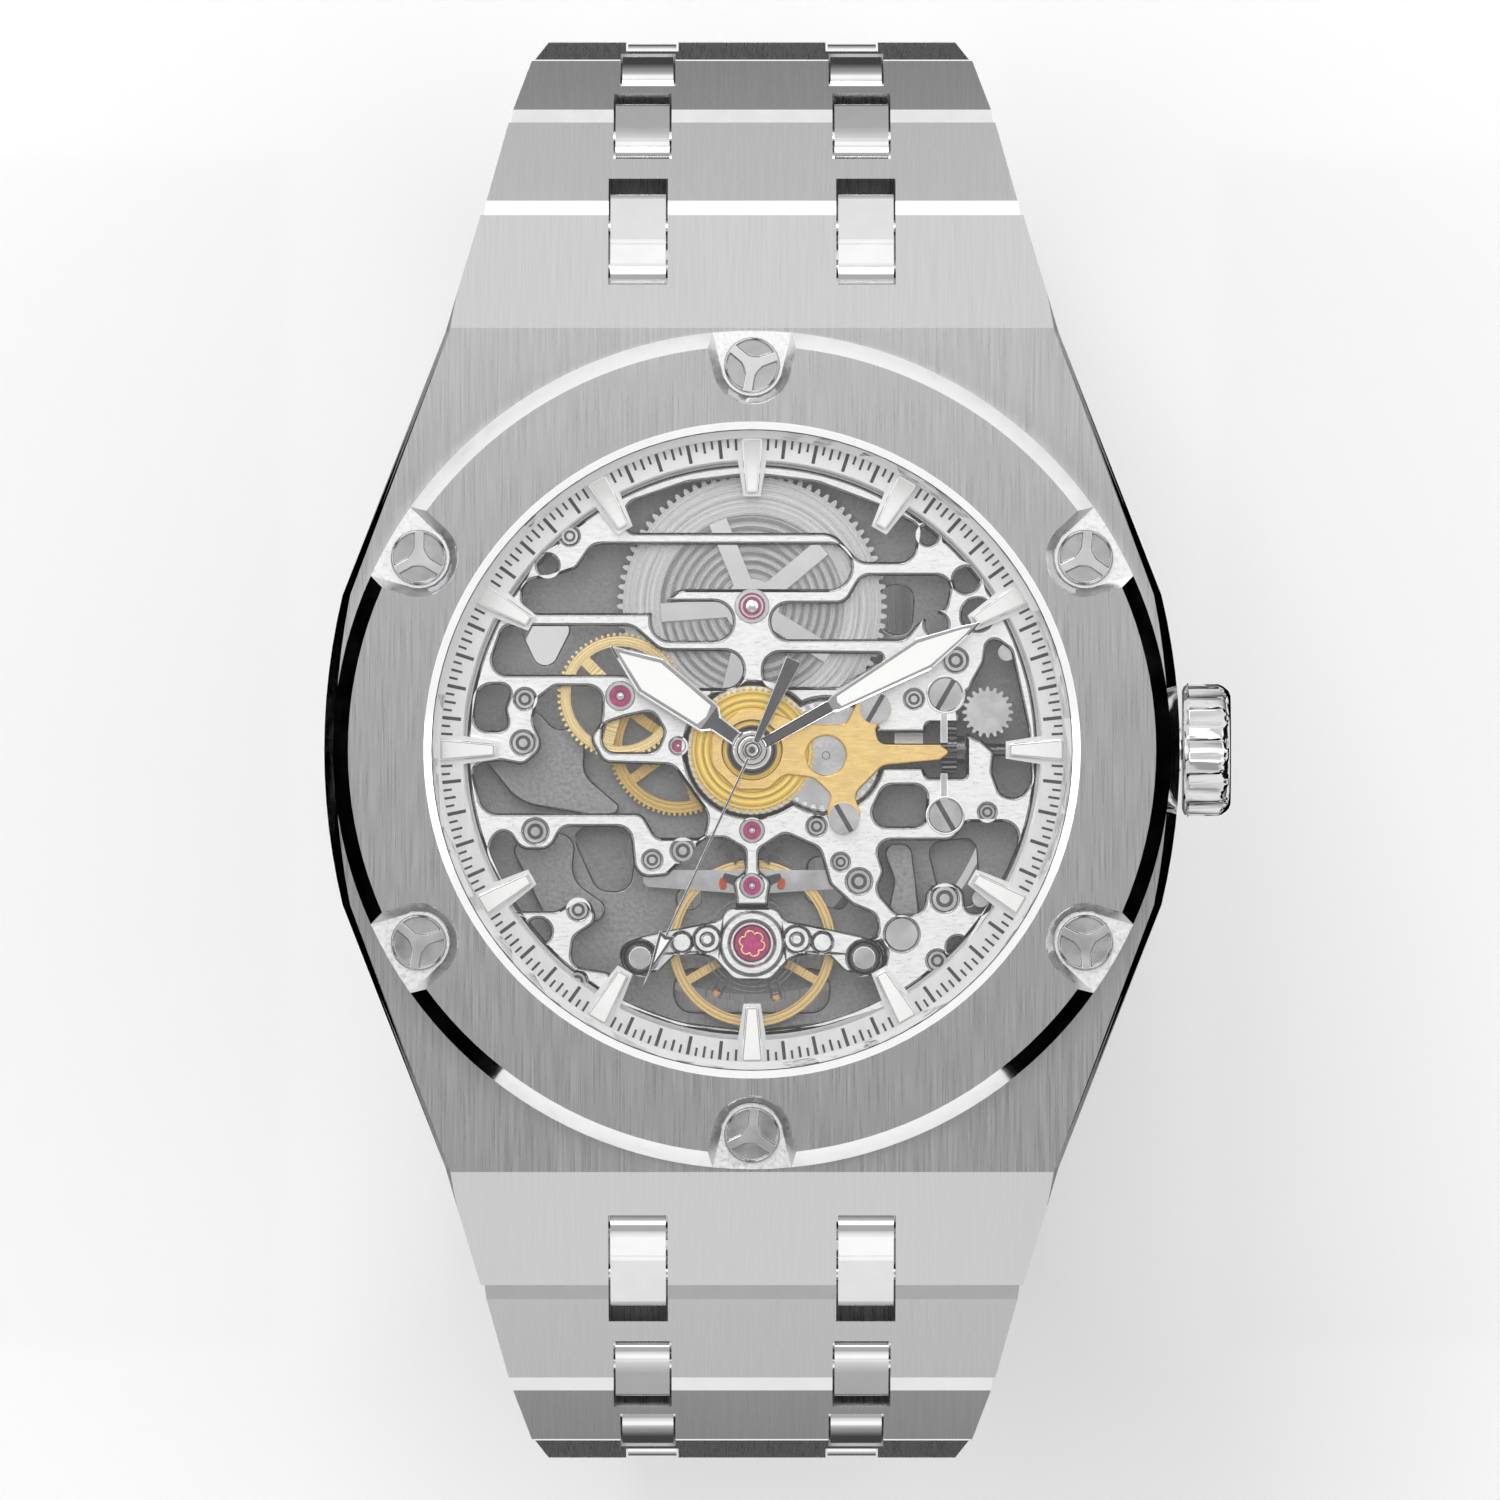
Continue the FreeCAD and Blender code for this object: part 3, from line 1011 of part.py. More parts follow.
def minute_post():
    """The post that the minute wheel turns on, riveted in the main plate."""
    made = body("minute_post", *MOTION)
    pad(made, "plate_floor", 7.1, [circle(0, 0, 0.17)])
    return made


def motion_bridge():
    """The gilt bridge over the motion work, with a ring round the hour tube and a long finger."""
    made = body("motion_bridge")
    outline = rounded([(-0.6, 2.0, 0.8), (0.6, 2.0, 0.9), (2.6, 1.25, 1.2), (4.6, 1.25, 0.4),
                       (5.1, 2.3, 0.5), (6.4, 3.0, 0.7), (7.0, 1.9, 0.6), (6.05, 1.1, 0.4), (6.2, 0.3, 0.5),
                       (9.2, 0.28, 0.2), (9.75, -0.1, 0.15), (9.2, -0.5, 0.2), (6.4, -0.75, 0.8),
                       (5.0, -2.2, 0.6), (5.4, -3.2, 0.5), (4.5, -4.2, 0.8), (3.6, -3.4, 0.7),
                       (3.9, -2.2, 0.5), (3.0, -1.35, 0.8), (1.6, -1.2, 0.6), (0.8, -1.95, 0.9),
                       (-0.8, -1.95, 0.9), (-2.0, -0.8, 0.9), (-2.0, 0.8, 0.9)])
    pad(made, "plate_top + 0.02", "plate_top + 0.27", [curve(outline)])
    pocket(made, "plate_top", "plate_top + 0.5", [circle(0, 0, 1.45), circle(*MOTION, 0.98)])
    pocket(made, "plate_top", "plate_top + 0.5", [circle(x, y, 0.4) for x, y, radius in BRIDGE_SCREWS])
    return made


def hand(label, floor, thickness, blade, hub, bore, degrees):
    """A hand: a hub, a tapering blade drawn along +Y, and the angle it stands at."""
    made = body(label, 0, 0, 0, Rotation(Vector(0, 0, 1), -degrees))
    pad(made, floor, f"{floor} + {thickness}", [curve(rounded(blade))])
    pad(made, floor, f"{floor} + {thickness} + 0.06", [circle(0, 0, hub)])
    pocket(made, f"{floor} - 0.05", f"{floor} + 1", [circle(0, 0, bore)])
    return made


def hour_hand():
    """Lance-shaped hour hand."""
    reach = value("hour_reach")
    blade = [(-0.34, 0.0, 0), (0.34, 0.0, 0), (0.42, 2.2, 0.1), (0.78, 2.6, 0.1), (1.05, 6.2, 0.3),
             (0.3, 8.0, 0.2), (0.0, reach, 0.05), (-0.3, 8.0, 0.2), (-1.05, 6.2, 0.3), (-0.78, 2.6, 0.1),
             (-0.42, 2.2, 0.1)]
    return hand("hour_hand", "hour_hand_floor", 0.14, blade, 0.95, 0.5, 306.2)


def minute_hand():
    """Longer lance-shaped minute hand."""
    reach = value("minute_reach")
    blade = [(-0.26, 0.0, 0), (0.26, 0.0, 0), (0.3, 4.4, 0.1), (0.42, 4.7, 0.1), (0.83, 9.7, 0.4),
             (0.28, 12.0, 0.3), (0.0, reach, 0.04), (-0.28, 12.0, 0.3), (-0.83, 9.7, 0.4),
             (-0.42, 4.7, 0.1), (-0.3, 4.4, 0.1)]
    return hand("minute_hand", "minute_hand_floor", 0.12, blade, 0.68, 0.28, 60.8)


def seconds_hand():
    """Needle with an arrow head and a widening tail."""
    reach = value("seconds_reach")
    blade = [(-0.07, 0.0, 0), (-0.15, -0.3, 0), (-0.4, -4.9, 0), (0.4, -4.9, 0), (0.15, -0.3, 0),
             (0.07, 0.0, 0), (0.06, 10.0, 0), (0.42, 9.9, 0), (0.06, 11.9, 0), (0.0, reach, 0),
             (-0.06, 11.9, 0), (-0.42, 9.9, 0), (-0.06, 10.0, 0)]
    made = hand("seconds_hand", "seconds_hand_floor", 0.1, blade, 0.42, 0.1, 204.8)
    pad(made, "seconds_hand_floor + 0.1", "seconds_hand_floor + 0.2", [circle(0, 0, 0.25)])
    return made


# ---------------------------------------------------------------- winding, setting, rotor
def stem():
    """The winding stem, from the keyless works out to the crown."""
    made = body("winding_stem")
    pad(made, 6.6, 14.5, [circle(0, "stem_height", 0.32)], role="YZ_Plane")
    pad(made, 14.5, "crown_start + 0.6", [circle(0, "stem_height", "stem_rad")], role="YZ_Plane")
    return made


def sliding_pinion():
    """The sliding pinion on the stem."""
    made = body("sliding_pinion", 9.3, 0, value("stem_height"), Rotation(Vector(0, 1, 0), 90))
    pad(made, 0, 0.75, [toothed(18, 1.1, 0.8, 10), circle(0, 0, 0.36)])
    pad(made, 0.75, 1.15, [circle(0, 0, 0.7), circle(0, 0, 0.36)])
    return made


def winding_crown():
    """The fluted crown with a stepped outer face."""
    made = body("winding_crown", 0, 0, value("stem_height"), Rotation(Vector(0, 1, 0), 90))
    turn(made, (0, "crown_start"), ("crown_rad - 0.25", "crown_start"),
         ("crown_rad", "crown_start + 0.25"), ("crown_rad", "crown_end - 0.5"),
         ("crown_rad - 0.5", "crown_end"), (0, "crown_end"))
    flute = pocket(made, "crown_start + 0.25", "crown_end + 0.1", [circle("crown_rad + 0.7", 0, 0.92)])
    around(made, [flute], 12)
    pocket(made, "crown_start", "crown_start + 0.6", [circle(0, 0, "stem_rad")])
    return made


def setting_lever():
    """The lever that slides with the stem and shifts the pinion."""
    made = body("setting_lever")
    arm = rounded([(7.0, -0.3, 0.2), (7.0, 2.2, 0.3), (8.4, 2.2, 0.3), (8.4, -0.3, 0.2)])
    pad(made, 4.75, 5.0, [curve(arm)])
    pad(made, 5.0, 5.5, [circle(7.7, 1.65, 0.3)])
    pad(made, 5.0, "stem_height - 0.4", [box_outline(7.7, 0, 0.35, 0.3)])
    return made


def setting_wheel():
    """The intermediate wheel between the keyless works and the minute wheel."""
    made = body("setting_wheel", *SETTING)
    pad(made, 6.5, 6.78, [toothed(20, 1.16, 0.8), circle(0, 0, 0.3)])
    pad(made, 6.78, 6.86, [circle(0, 0, 0.5), circle(0, 0, 0.3)])
    return made


def setting_post():
    """The post of the setting wheel, on a foot fixed to the rear bridge."""
    made = body("setting_post", *SETTING)
    pad(made, "bridge_top", 6.4, [circle(0, 0, 0.6)])
    pad(made, 6.4, 6.95, [circle(0, 0, 0.27)])
    return made


def rotor():
    """The half-disc winding weight with its heavy rim."""
    made = body("rotor")
    arc = [Part.Arc(Vector(-12.0, -0.6, 0), Vector(0, -12.02, 0), Vector(12.0, -0.6, 0)),
           Part.LineSegment(Vector(12.0, -0.6, 0), Vector(2.2, 1.2, 0)),
           Part.Arc(Vector(2.2, 1.2, 0), Vector(0, 2.5, 0), Vector(-2.2, 1.2, 0)),
           Part.LineSegment(Vector(-2.2, 1.2, 0), Vector(-12.0, -0.6, 0))]
    slot = rounded([(-6.8, -4.6, 0.6), (-2.2, -3.4, 0.6), (2.2, -3.4, 0.6), (6.8, -4.6, 0.6),
                    (3.6, -8.2, 0.8), (-3.6, -8.2, 0.8)])
    pad(made, 1.45, 1.75, [curve(arc), circle(0, 0, 1.3), curve(slot)])
    rim = [Part.Arc(Vector(-12.0, -0.7, 0), Vector(0, -12.02, 0), Vector(12.0, -0.7, 0)),
           Part.LineSegment(Vector(12.0, -0.7, 0), Vector(9.6, -0.9, 0)),
           Part.Arc(Vector(9.6, -0.9, 0), Vector(0, -9.64, 0), Vector(-9.6, -0.9, 0)),
           Part.LineSegment(Vector(-9.6, -0.9, 0), Vector(-12.0, -0.7, 0))]
    pad(made, 1.75, 2.25, [curve(rim)])
    return made


def rotor_bearing():
    """The hub that the rotor turns on, with its screw-head cap."""
    made = body("rotor_bearing")
    pad(made, 1.8, "bridge_floor", [circle(0, 0, 1.7)])
    pad(made, 1.4, 1.8, [circle(0, 0, 1.26)])
    return made


for maker in (barrel, mainspring, ratchet_wheel, centre_wheel, third_wheel, fourth_wheel, escape_wheel,
              pallet_fork, balance_wheel, hairspring, balance_bridge, reduction_wheel,
              hour_wheel, minute_wheel, motion_bridge, hour_hand, minute_hand,
              seconds_hand, stem, sliding_pinion, winding_crown, setting_lever, setting_wheel, rotor):
    node(maker())
node(group("jewels", [plate_jewels(), shock_setting()]))
node(group("bearings_and_posts", [centre_bearing(), centre_bush(), rotor_bearing(), minute_post(),
                                  setting_post(), pallet_bridge(), cock_screws()]))


# ---------------------------------------------------------------- bracelet
def sweep_back(bend, run, rise):
    """A point of the previous link, run back from the hinge and rise off it, in the next link's frame."""
    angle = math.radians(bend)
    return (-run * math.cos(angle) - rise * math.sin(angle),
            rise * math.cos(angle) - run * math.sin(angle))


def link_profile(reach_back, pitch):
    """Side view of a link plate: hollow near end with a bevel, round far end."""
    hollow = reach_back + value("hinge_gap")
    bevel = value("near_bevel")
    start = math.sqrt(hollow ** 2 - HALF_THICK ** 2)
    lip = math.sqrt(hollow ** 2 - (HALF_THICK - bevel) ** 2)
    far = value("hinge_reach")
    end = pitch + math.sqrt(far ** 2 - HALF_THICK ** 2)
    low, nose = Vector(start, -HALF_THICK, 0), Vector(lip, HALF_THICK - bevel, 0)
    top, shoulder = Vector(lip + value("near_bevel_run"), HALF_THICK, 0), Vector(end, HALF_THICK, 0)
    heel = Vector(end, -HALF_THICK, 0)
    return curve([Part.Arc(low, Vector(hollow, 0, 0), nose), Part.LineSegment(nose, top),
                  Part.LineSegment(top, shoulder), Part.Arc(shoulder, Vector(pitch + far, 0, 0), heel),
                  Part.LineSegment(heel, low)])


def stud(label, placement, number, bend, front, back):
    """A pillow-shaped stud: pinned to the link before, fixed to its own link."""
    made = doc.addObject("PartDesign::Body", label)
    made.Placement = placement
    crown = HALF_THICK + value("stud_crown")
    half = math.radians(bend / 2)
    ridge = (-crown * math.tan(half), crown)
    heel = sweep_back(bend, back, crown)
    sole = sweep_back(bend, back, -1.2)
    outline = rounded([(*heel, 1.1), (*ridge, 4.0), (front - 0.6, crown - 0.02, 1.5),
                       (front, crown - 0.55, 0.3), (front, -1.2, 0.2), (0.0, -1.35, 0.5), (*sole, 0.9)])
    middle, wide = STUD_PLACES[number], STUD_HALVES[number]
    pad(made, middle - wide, middle + wide, [curve(outline)], role="YZ_Plane")
    for bore in (circle(0, 0, "pin_bore"), circle(front - 1.2, -0.1, "pin_rad")):
        pocket(made, middle - wide - 1, middle + wide + 1, [bore], role="YZ_Plane")
    return made


def cross_pin(label, placement, half, y, z):
    """A pin along X in a link's own frame."""
    made = doc.addObject("Part::Cylinder", label)
    made.setExpression("Radius", "Sizes.pin_rad")
    made.Height = 2 * half
    made.Placement = placement * Placement(Vector(-half, y, z), Rotation(Vector(0, 1, 0), 90))
    return made


def studs_of(label, placement, number, bend, front, back):
    """A stud, its mirror image, and the pin that fixes both."""
    right = stud(label + "_stud_right", placement, number, bend, front, back)
    left = doc.addObject("Part::Mirroring", label + "_stud_left")
    left.Source = right
    left.Base = Vector(0, 0, 0)
    left.Normal = Vector(1, 0, 0)
    half = STUD_PLACES[number] + STUD_HALVES[number] + 1.3
    return [right, left, cross_pin(label + "_stud_pin", placement, half, front - 1.2, -0.1)]


def near_notches(number, front):
    """Plans of the two notches in a plate's near end that its own studs sit in."""
    slack = STUD_HALVES[number] + value("notch_clear")
    half = (front + 0.7) / 2
    return [box_outline(side * STUD_PLACES[number], half - 1, slack, half + 1) for side in (1, -1)]


def frame_of(spin, number, tilt):
    """The placement of a link's own frame: Y along it, Z outwards, origin on its near hinge."""
    y, z = hinges[number]
    return Placement(Vector(0, 0, 0), spin) * Placement(Vector(0, y, z), Rotation(Vector(1, 0, 0), -tilt))


def link(name, spin, number):
    """One bracelet link with its studs and pins."""
    label = f"link_{name}_{number + 1}"
    first = number == 0
    last_open = number == len(LINK_TILTS) - 1 and name == "6"
    tilt = LINK_TILTS[number]
    bend = tilt - (SLOPE if first else LINK_TILTS[number - 1])
    pitch = value("first_pitch" if first else "link_pitch")
    placement = frame_of(spin, number, tilt)
    made = doc.addObject("PartDesign::Body", label + "_plate")
    made.Placement = placement
    near, far = LINK_HALVES[number], LINK_HALVES[number + 1]
    back_reach = value("case_hinge_reach" if first else "hinge_reach")
    pad(made, -near, near, [link_profile(back_reach, pitch)], role="YZ_Plane")
    start = math.sqrt((back_reach + value("hinge_gap")) ** 2 - HALF_THICK ** 2)
    end = pitch + math.sqrt(value("hinge_reach") ** 2 - HALF_THICK ** 2)
    lean = (near - far) / (end - start)
    for side in (1, -1):
        pocket(made, -4, 4, [polygon((side * near, start), (side * (near - lean * (15 - start)), 15),
                                     (side * (near + 3), 15), (side * (near + 3), start))])
    stud_front = 4.5 if first else 3.75
    cuts = near_notches(number, stud_front)
    if not last_open:
        slack = STUD_HALVES[number + 1] + value("notch_clear")
        for side in (1, -1):
            cuts.append(box_outline(side * STUD_PLACES[number + 1], pitch - 1.75 + 3, slack, 3))
    pocket(made, -4, 4, cuts)
    half = STUD_PLACES[number] + STUD_HALVES[number] + 1.3
    pocket(made, -half, half, [circle(stud_front - 1.2, -0.1, "pin_rad")], role="YZ_Plane")
    members = [made] + studs_of(label, placement, number, bend, stud_front, 1.75 if first else 1.25)
    if not last_open:
        half = STUD_PLACES[number + 1] + STUD_HALVES[number + 1] + 1.3
        pocket(made, -half, half, [circle(pitch, 0, "pin_rad")], role="YZ_Plane")
        members.append(cross_pin(label + "_end_pin", placement, half, pitch, 0))
    return group(label, members)


for name, spin in BRACELET_SIDES:
    for number in range(len(LINK_TILTS)):
        node(link(name, spin, number))


# ---------------------------------------------------------------- folding clasp
CLASP = len(LINK_TILTS)
CLASP_HALF = LINK_HALVES[CLASP]
CLASP_FRAME = frame_of(Rotation(), CLASP, 180.0)
COVER_END = 31.6
COVER_PIN = (32.3, -0.55)
FOLD_PIN = (8.0, -1.2)
RAIL_INSIDE = 8.0
BUTTON_PLACE = 18.0


def clasp_body(label):
    """An empty body in the clasp's frame."""
    made = doc.addObject("PartDesign::Body", label)
    made.Label = label
    made.AllowCompound = True
    made.Placement = CLASP_FRAME
    return made


def side_pad(made, inner, outer, outlines):
    """The same side view padded on both sides of the middle."""
    pad(made, inner, outer, outlines, role="YZ_Plane")
    pad(made, f"-({outer})", f"-({inner})", outlines, role="YZ_Plane")


def clasp_cover():
    """The cover plate with its two rails, studs at the 12 o'clock end and ears at the other."""
    made = clasp_body("clasp_cover_plate")
    hollow = value("hinge_reach") + value("hinge_gap")
    bevel = value("near_bevel")
    start = math.sqrt(hollow ** 2 - HALF_THICK ** 2)
    lip = math.sqrt(hollow ** 2 - (HALF_THICK - bevel) ** 2)
    low, nose = Vector(start, -HALF_THICK, 0), Vector(lip, HALF_THICK - bevel, 0)
    spots = [nose, Vector(lip + value("near_bevel_run"), HALF_THICK, 0),
             Vector(COVER_END - 0.5, HALF_THICK, 0), Vector(COVER_END, HALF_THICK - 0.5, 0),
             Vector(COVER_END, 0.3, 0), Vector(6.2, 0.3, 0), Vector(6.2, -HALF_THICK, 0), low]
    profile = [Part.Arc(low, Vector(hollow, 0, 0), nose)]
    profile += [Part.LineSegment(a, b) for a, b in zip(spots, spots[1:])]
    pad(made, -CLASP_HALF, CLASP_HALF, [curve(profile)], role="YZ_Plane")
    rail = polygon((6.0, -0.9), (COVER_END, -0.9), (COVER_END, 0.4), (6.0, 0.4))
    ear = circle(*COVER_PIN, 1.2)
    side_pad(made, RAIL_INSIDE, CLASP_HALF, [rail])
    side_pad(made, RAIL_INSIDE, CLASP_HALF, [ear])
    front = 3.75
    pocket(made, -4, 4, near_notches(CLASP, front))
    half = STUD_PLACES[CLASP] + STUD_HALVES[CLASP] + 1.3
    pocket(made, -half, half, [circle(front - 1.2, -0.1, "pin_rad")], role="YZ_Plane")
    for opening in (circle(*COVER_PIN, "pin_rad"), box_outline(BUTTON_PLACE, -0.3, 1.5, 0.45)):
        pocket(made, -CLASP_HALF - 1, CLASP_HALF + 1, [opening], role="YZ_Plane")
    bend = 180.0 - LINK_TILTS[-1]
    members = [made] + studs_of("clasp_cover", CLASP_FRAME, CLASP, bend, front, 1.25)
    members.append(cross_pin("clasp_cover_pin", CLASP_FRAME, CLASP_HALF, *COVER_PIN))
    return group("clasp_cover", members)


def clasp_inner_blade():
    """The blade that folds against the cover, hinged at the cover's 6 o'clock end."""
    made = clasp_body("clasp_inner_blade_strip")
    wide = value("blade_half")
    strip = polygon((9.3, -0.95), (COVER_PIN[0], -0.95), (COVER_PIN[0], -0.15), (9.3, -0.15))
    pad(made, -wide, wide, [strip], role="YZ_Plane")
    pad(made, -wide, wide, [circle(*COVER_PIN, 0.72)], role="YZ_Plane")
    knuckle = polygon((FOLD_PIN[0], -0.95), (9.4, -0.95), (9.4, -0.15), (FOLD_PIN[0], -0.5))
    side_pad(made, 2.2, wide, [knuckle])
    side_pad(made, 2.2, wide, [circle(*FOLD_PIN, 0.7)])
    pocket(made, -wide - 1, wide + 1, [circle(*COVER_PIN, "pin_bore")], role="YZ_Plane")
    pocket(made, -wide - 1, wide + 1, [circle(*FOLD_PIN, 0.4)], role="YZ_Plane")
    slot = rounded([(-1.6, 14, 0.8), (1.6, 14, 0.8), (1.6, 28, 0.8), (-1.6, 28, 0.8)])
    pocket(made, -3, 3, [curve(slot)])
    fold_pin = doc.addObject("Part::Cylinder", "clasp_fold_pin")
    fold_pin.Radius = 0.4
    fold_pin.Height = 2 * wide
    across = Rotation(Vector(0, 1, 0), 90)
    fold_pin.Placement = CLASP_FRAME * Placement(Vector(-wide, *FOLD_PIN), across)
    return group("clasp_inner_blade", [made, fold_pin])


def clasp_outer_blade():
    """The blade on the wrist side, whose end block meets the last 6 o'clock link."""
    made = clasp_body("clasp_outer_blade")
    wide = value("blade_half")
    heel = FOLD_PIN[0] - 0.1
    strip = polygon((9.0, -2.3), (35.2, -2.3), (35.2, -1.5), (9.0, -1.5))
    knuckle = polygon((heel, -2.3), (9.2, -2.3), (9.2, -1.5), (heel, -1.6))
    pad(made, -wide, wide, [strip], role="YZ_Plane")
    pad(made, -2.1, 2.1, [knuckle], role="YZ_Plane")
    pad(made, -2.1, 2.1, [circle(*FOLD_PIN, 0.7)], role="YZ_Plane")
    block = rounded([(34.8, -2.3, 0.2), (36.6, -2.3, 0.5), (36.95, -1.0, 0.3), (36.95, 1.1, 0.3),
                     (36.6, 1.45, 0.1), (34.8, 1.45, 0.1)])
    pad(made, -CLASP_HALF, CLASP_HALF, [curve(block)], role="YZ_Plane")
    pocket(made, -3, 3, [circle(*FOLD_PIN, 0.43)], role="YZ_Plane")
    return made


def clasp_button(name, side):
    """A push-button in a rail of the cover."""
    made = clasp_body(f"clasp_button_{name}")
    inner, outer = (7.4, 9.75) if side > 0 else (-9.75, -7.4)
    face = rounded([(BUTTON_PLACE - 1.42, -0.68, 0.3), (BUTTON_PLACE + 1.42, -0.68, 0.3),
                    (BUTTON_PLACE + 1.42, 0.08, 0.3), (BUTTON_PLACE - 1.42, 0.08, 0.3)])
    pad(made, inner, outer, [curve(face)], role="YZ_Plane")
    return made


node(clasp_cover())
node(clasp_inner_blade())
node(clasp_outer_blade())
node(clasp_button("crown_side", 1))
node(clasp_button("far_side", -1))


# ---------------------------------------------------------------- checks and files
doc.recompute()
for item in doc.Objects:
    if "Invalid" in item.State or "Error" in item.State:
        raise RuntimeError(f"{item.Name} failed: {item.State}")
for item in nodes:
    shape = item.Shape
    if shape.isNull() or not shape.isValid() or not shape.Solids:
        raise RuntimeError(f"{item.Label} has no valid solid")
for item in nodes:
    item.Shape.exportStep(f"parts/{item.Label}.step")
    print(f"{item.Label}: {len(item.Shape.Solids)} solids, {item.Shape.Volume:.1f} mm3")
print(len(nodes), "nodes")
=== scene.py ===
"""Looks of the skeleton wristwatch: brushed and polished steel, gilt wheels, rubies, lume and print."""
import json
import math

import bmesh
import bpy
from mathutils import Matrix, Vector


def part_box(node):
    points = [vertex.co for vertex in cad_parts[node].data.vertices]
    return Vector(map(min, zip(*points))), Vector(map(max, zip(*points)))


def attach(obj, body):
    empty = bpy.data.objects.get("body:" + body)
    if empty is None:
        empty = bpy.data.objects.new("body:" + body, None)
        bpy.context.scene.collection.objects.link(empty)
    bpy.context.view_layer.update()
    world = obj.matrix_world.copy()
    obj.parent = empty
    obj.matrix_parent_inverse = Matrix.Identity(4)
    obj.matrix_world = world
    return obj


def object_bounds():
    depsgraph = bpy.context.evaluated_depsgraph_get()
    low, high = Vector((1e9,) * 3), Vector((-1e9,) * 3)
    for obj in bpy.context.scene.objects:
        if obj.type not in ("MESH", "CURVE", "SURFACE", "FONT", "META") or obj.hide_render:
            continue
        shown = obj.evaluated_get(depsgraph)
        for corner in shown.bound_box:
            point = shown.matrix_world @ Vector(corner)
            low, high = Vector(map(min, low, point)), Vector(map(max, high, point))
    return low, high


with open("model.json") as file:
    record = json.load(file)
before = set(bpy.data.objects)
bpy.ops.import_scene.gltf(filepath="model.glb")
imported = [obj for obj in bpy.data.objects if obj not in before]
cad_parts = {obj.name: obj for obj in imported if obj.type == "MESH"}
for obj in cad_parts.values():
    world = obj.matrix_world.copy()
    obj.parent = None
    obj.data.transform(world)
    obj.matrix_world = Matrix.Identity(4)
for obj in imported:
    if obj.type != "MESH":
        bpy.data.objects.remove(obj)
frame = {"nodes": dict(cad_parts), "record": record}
cad_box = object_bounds()

MM = 0.001
NODES = frame["nodes"]
JOINTS = {joint["name"]: joint for joint in frame["record"]["behaviour"]["joints"]}


# ---------------------------------------------------------------- places, in millimetres
def level(node, top=True):
    """Height of a CAD node's top or bottom, in millimetres."""
    low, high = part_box(node)
    return (high if top else low).z / MM


def axis_of(joint):
    """Where a joint's axis passes, in millimetres."""
    return Vector(JOINTS[joint]["pos_m"]) / MM


def around(x, y, degrees):
    """A point turned about the origin."""
    angle = math.radians(degrees)
    return (x * math.cos(angle) - y * math.sin(angle), x * math.sin(angle) + y * math.cos(angle))


def tip_angle(node):
    """Direction of the point of a hand, clockwise from 12 o'clock."""
    tip = max((v.co for v in NODES[node].data.vertices), key=lambda co: co.x ** 2 + co.y ** 2)
    return math.degrees(math.atan2(tip.x, tip.y))


# ---------------------------------------------------------------- material helpers
NOISE_MIDDLE = (0.3, 0.7)


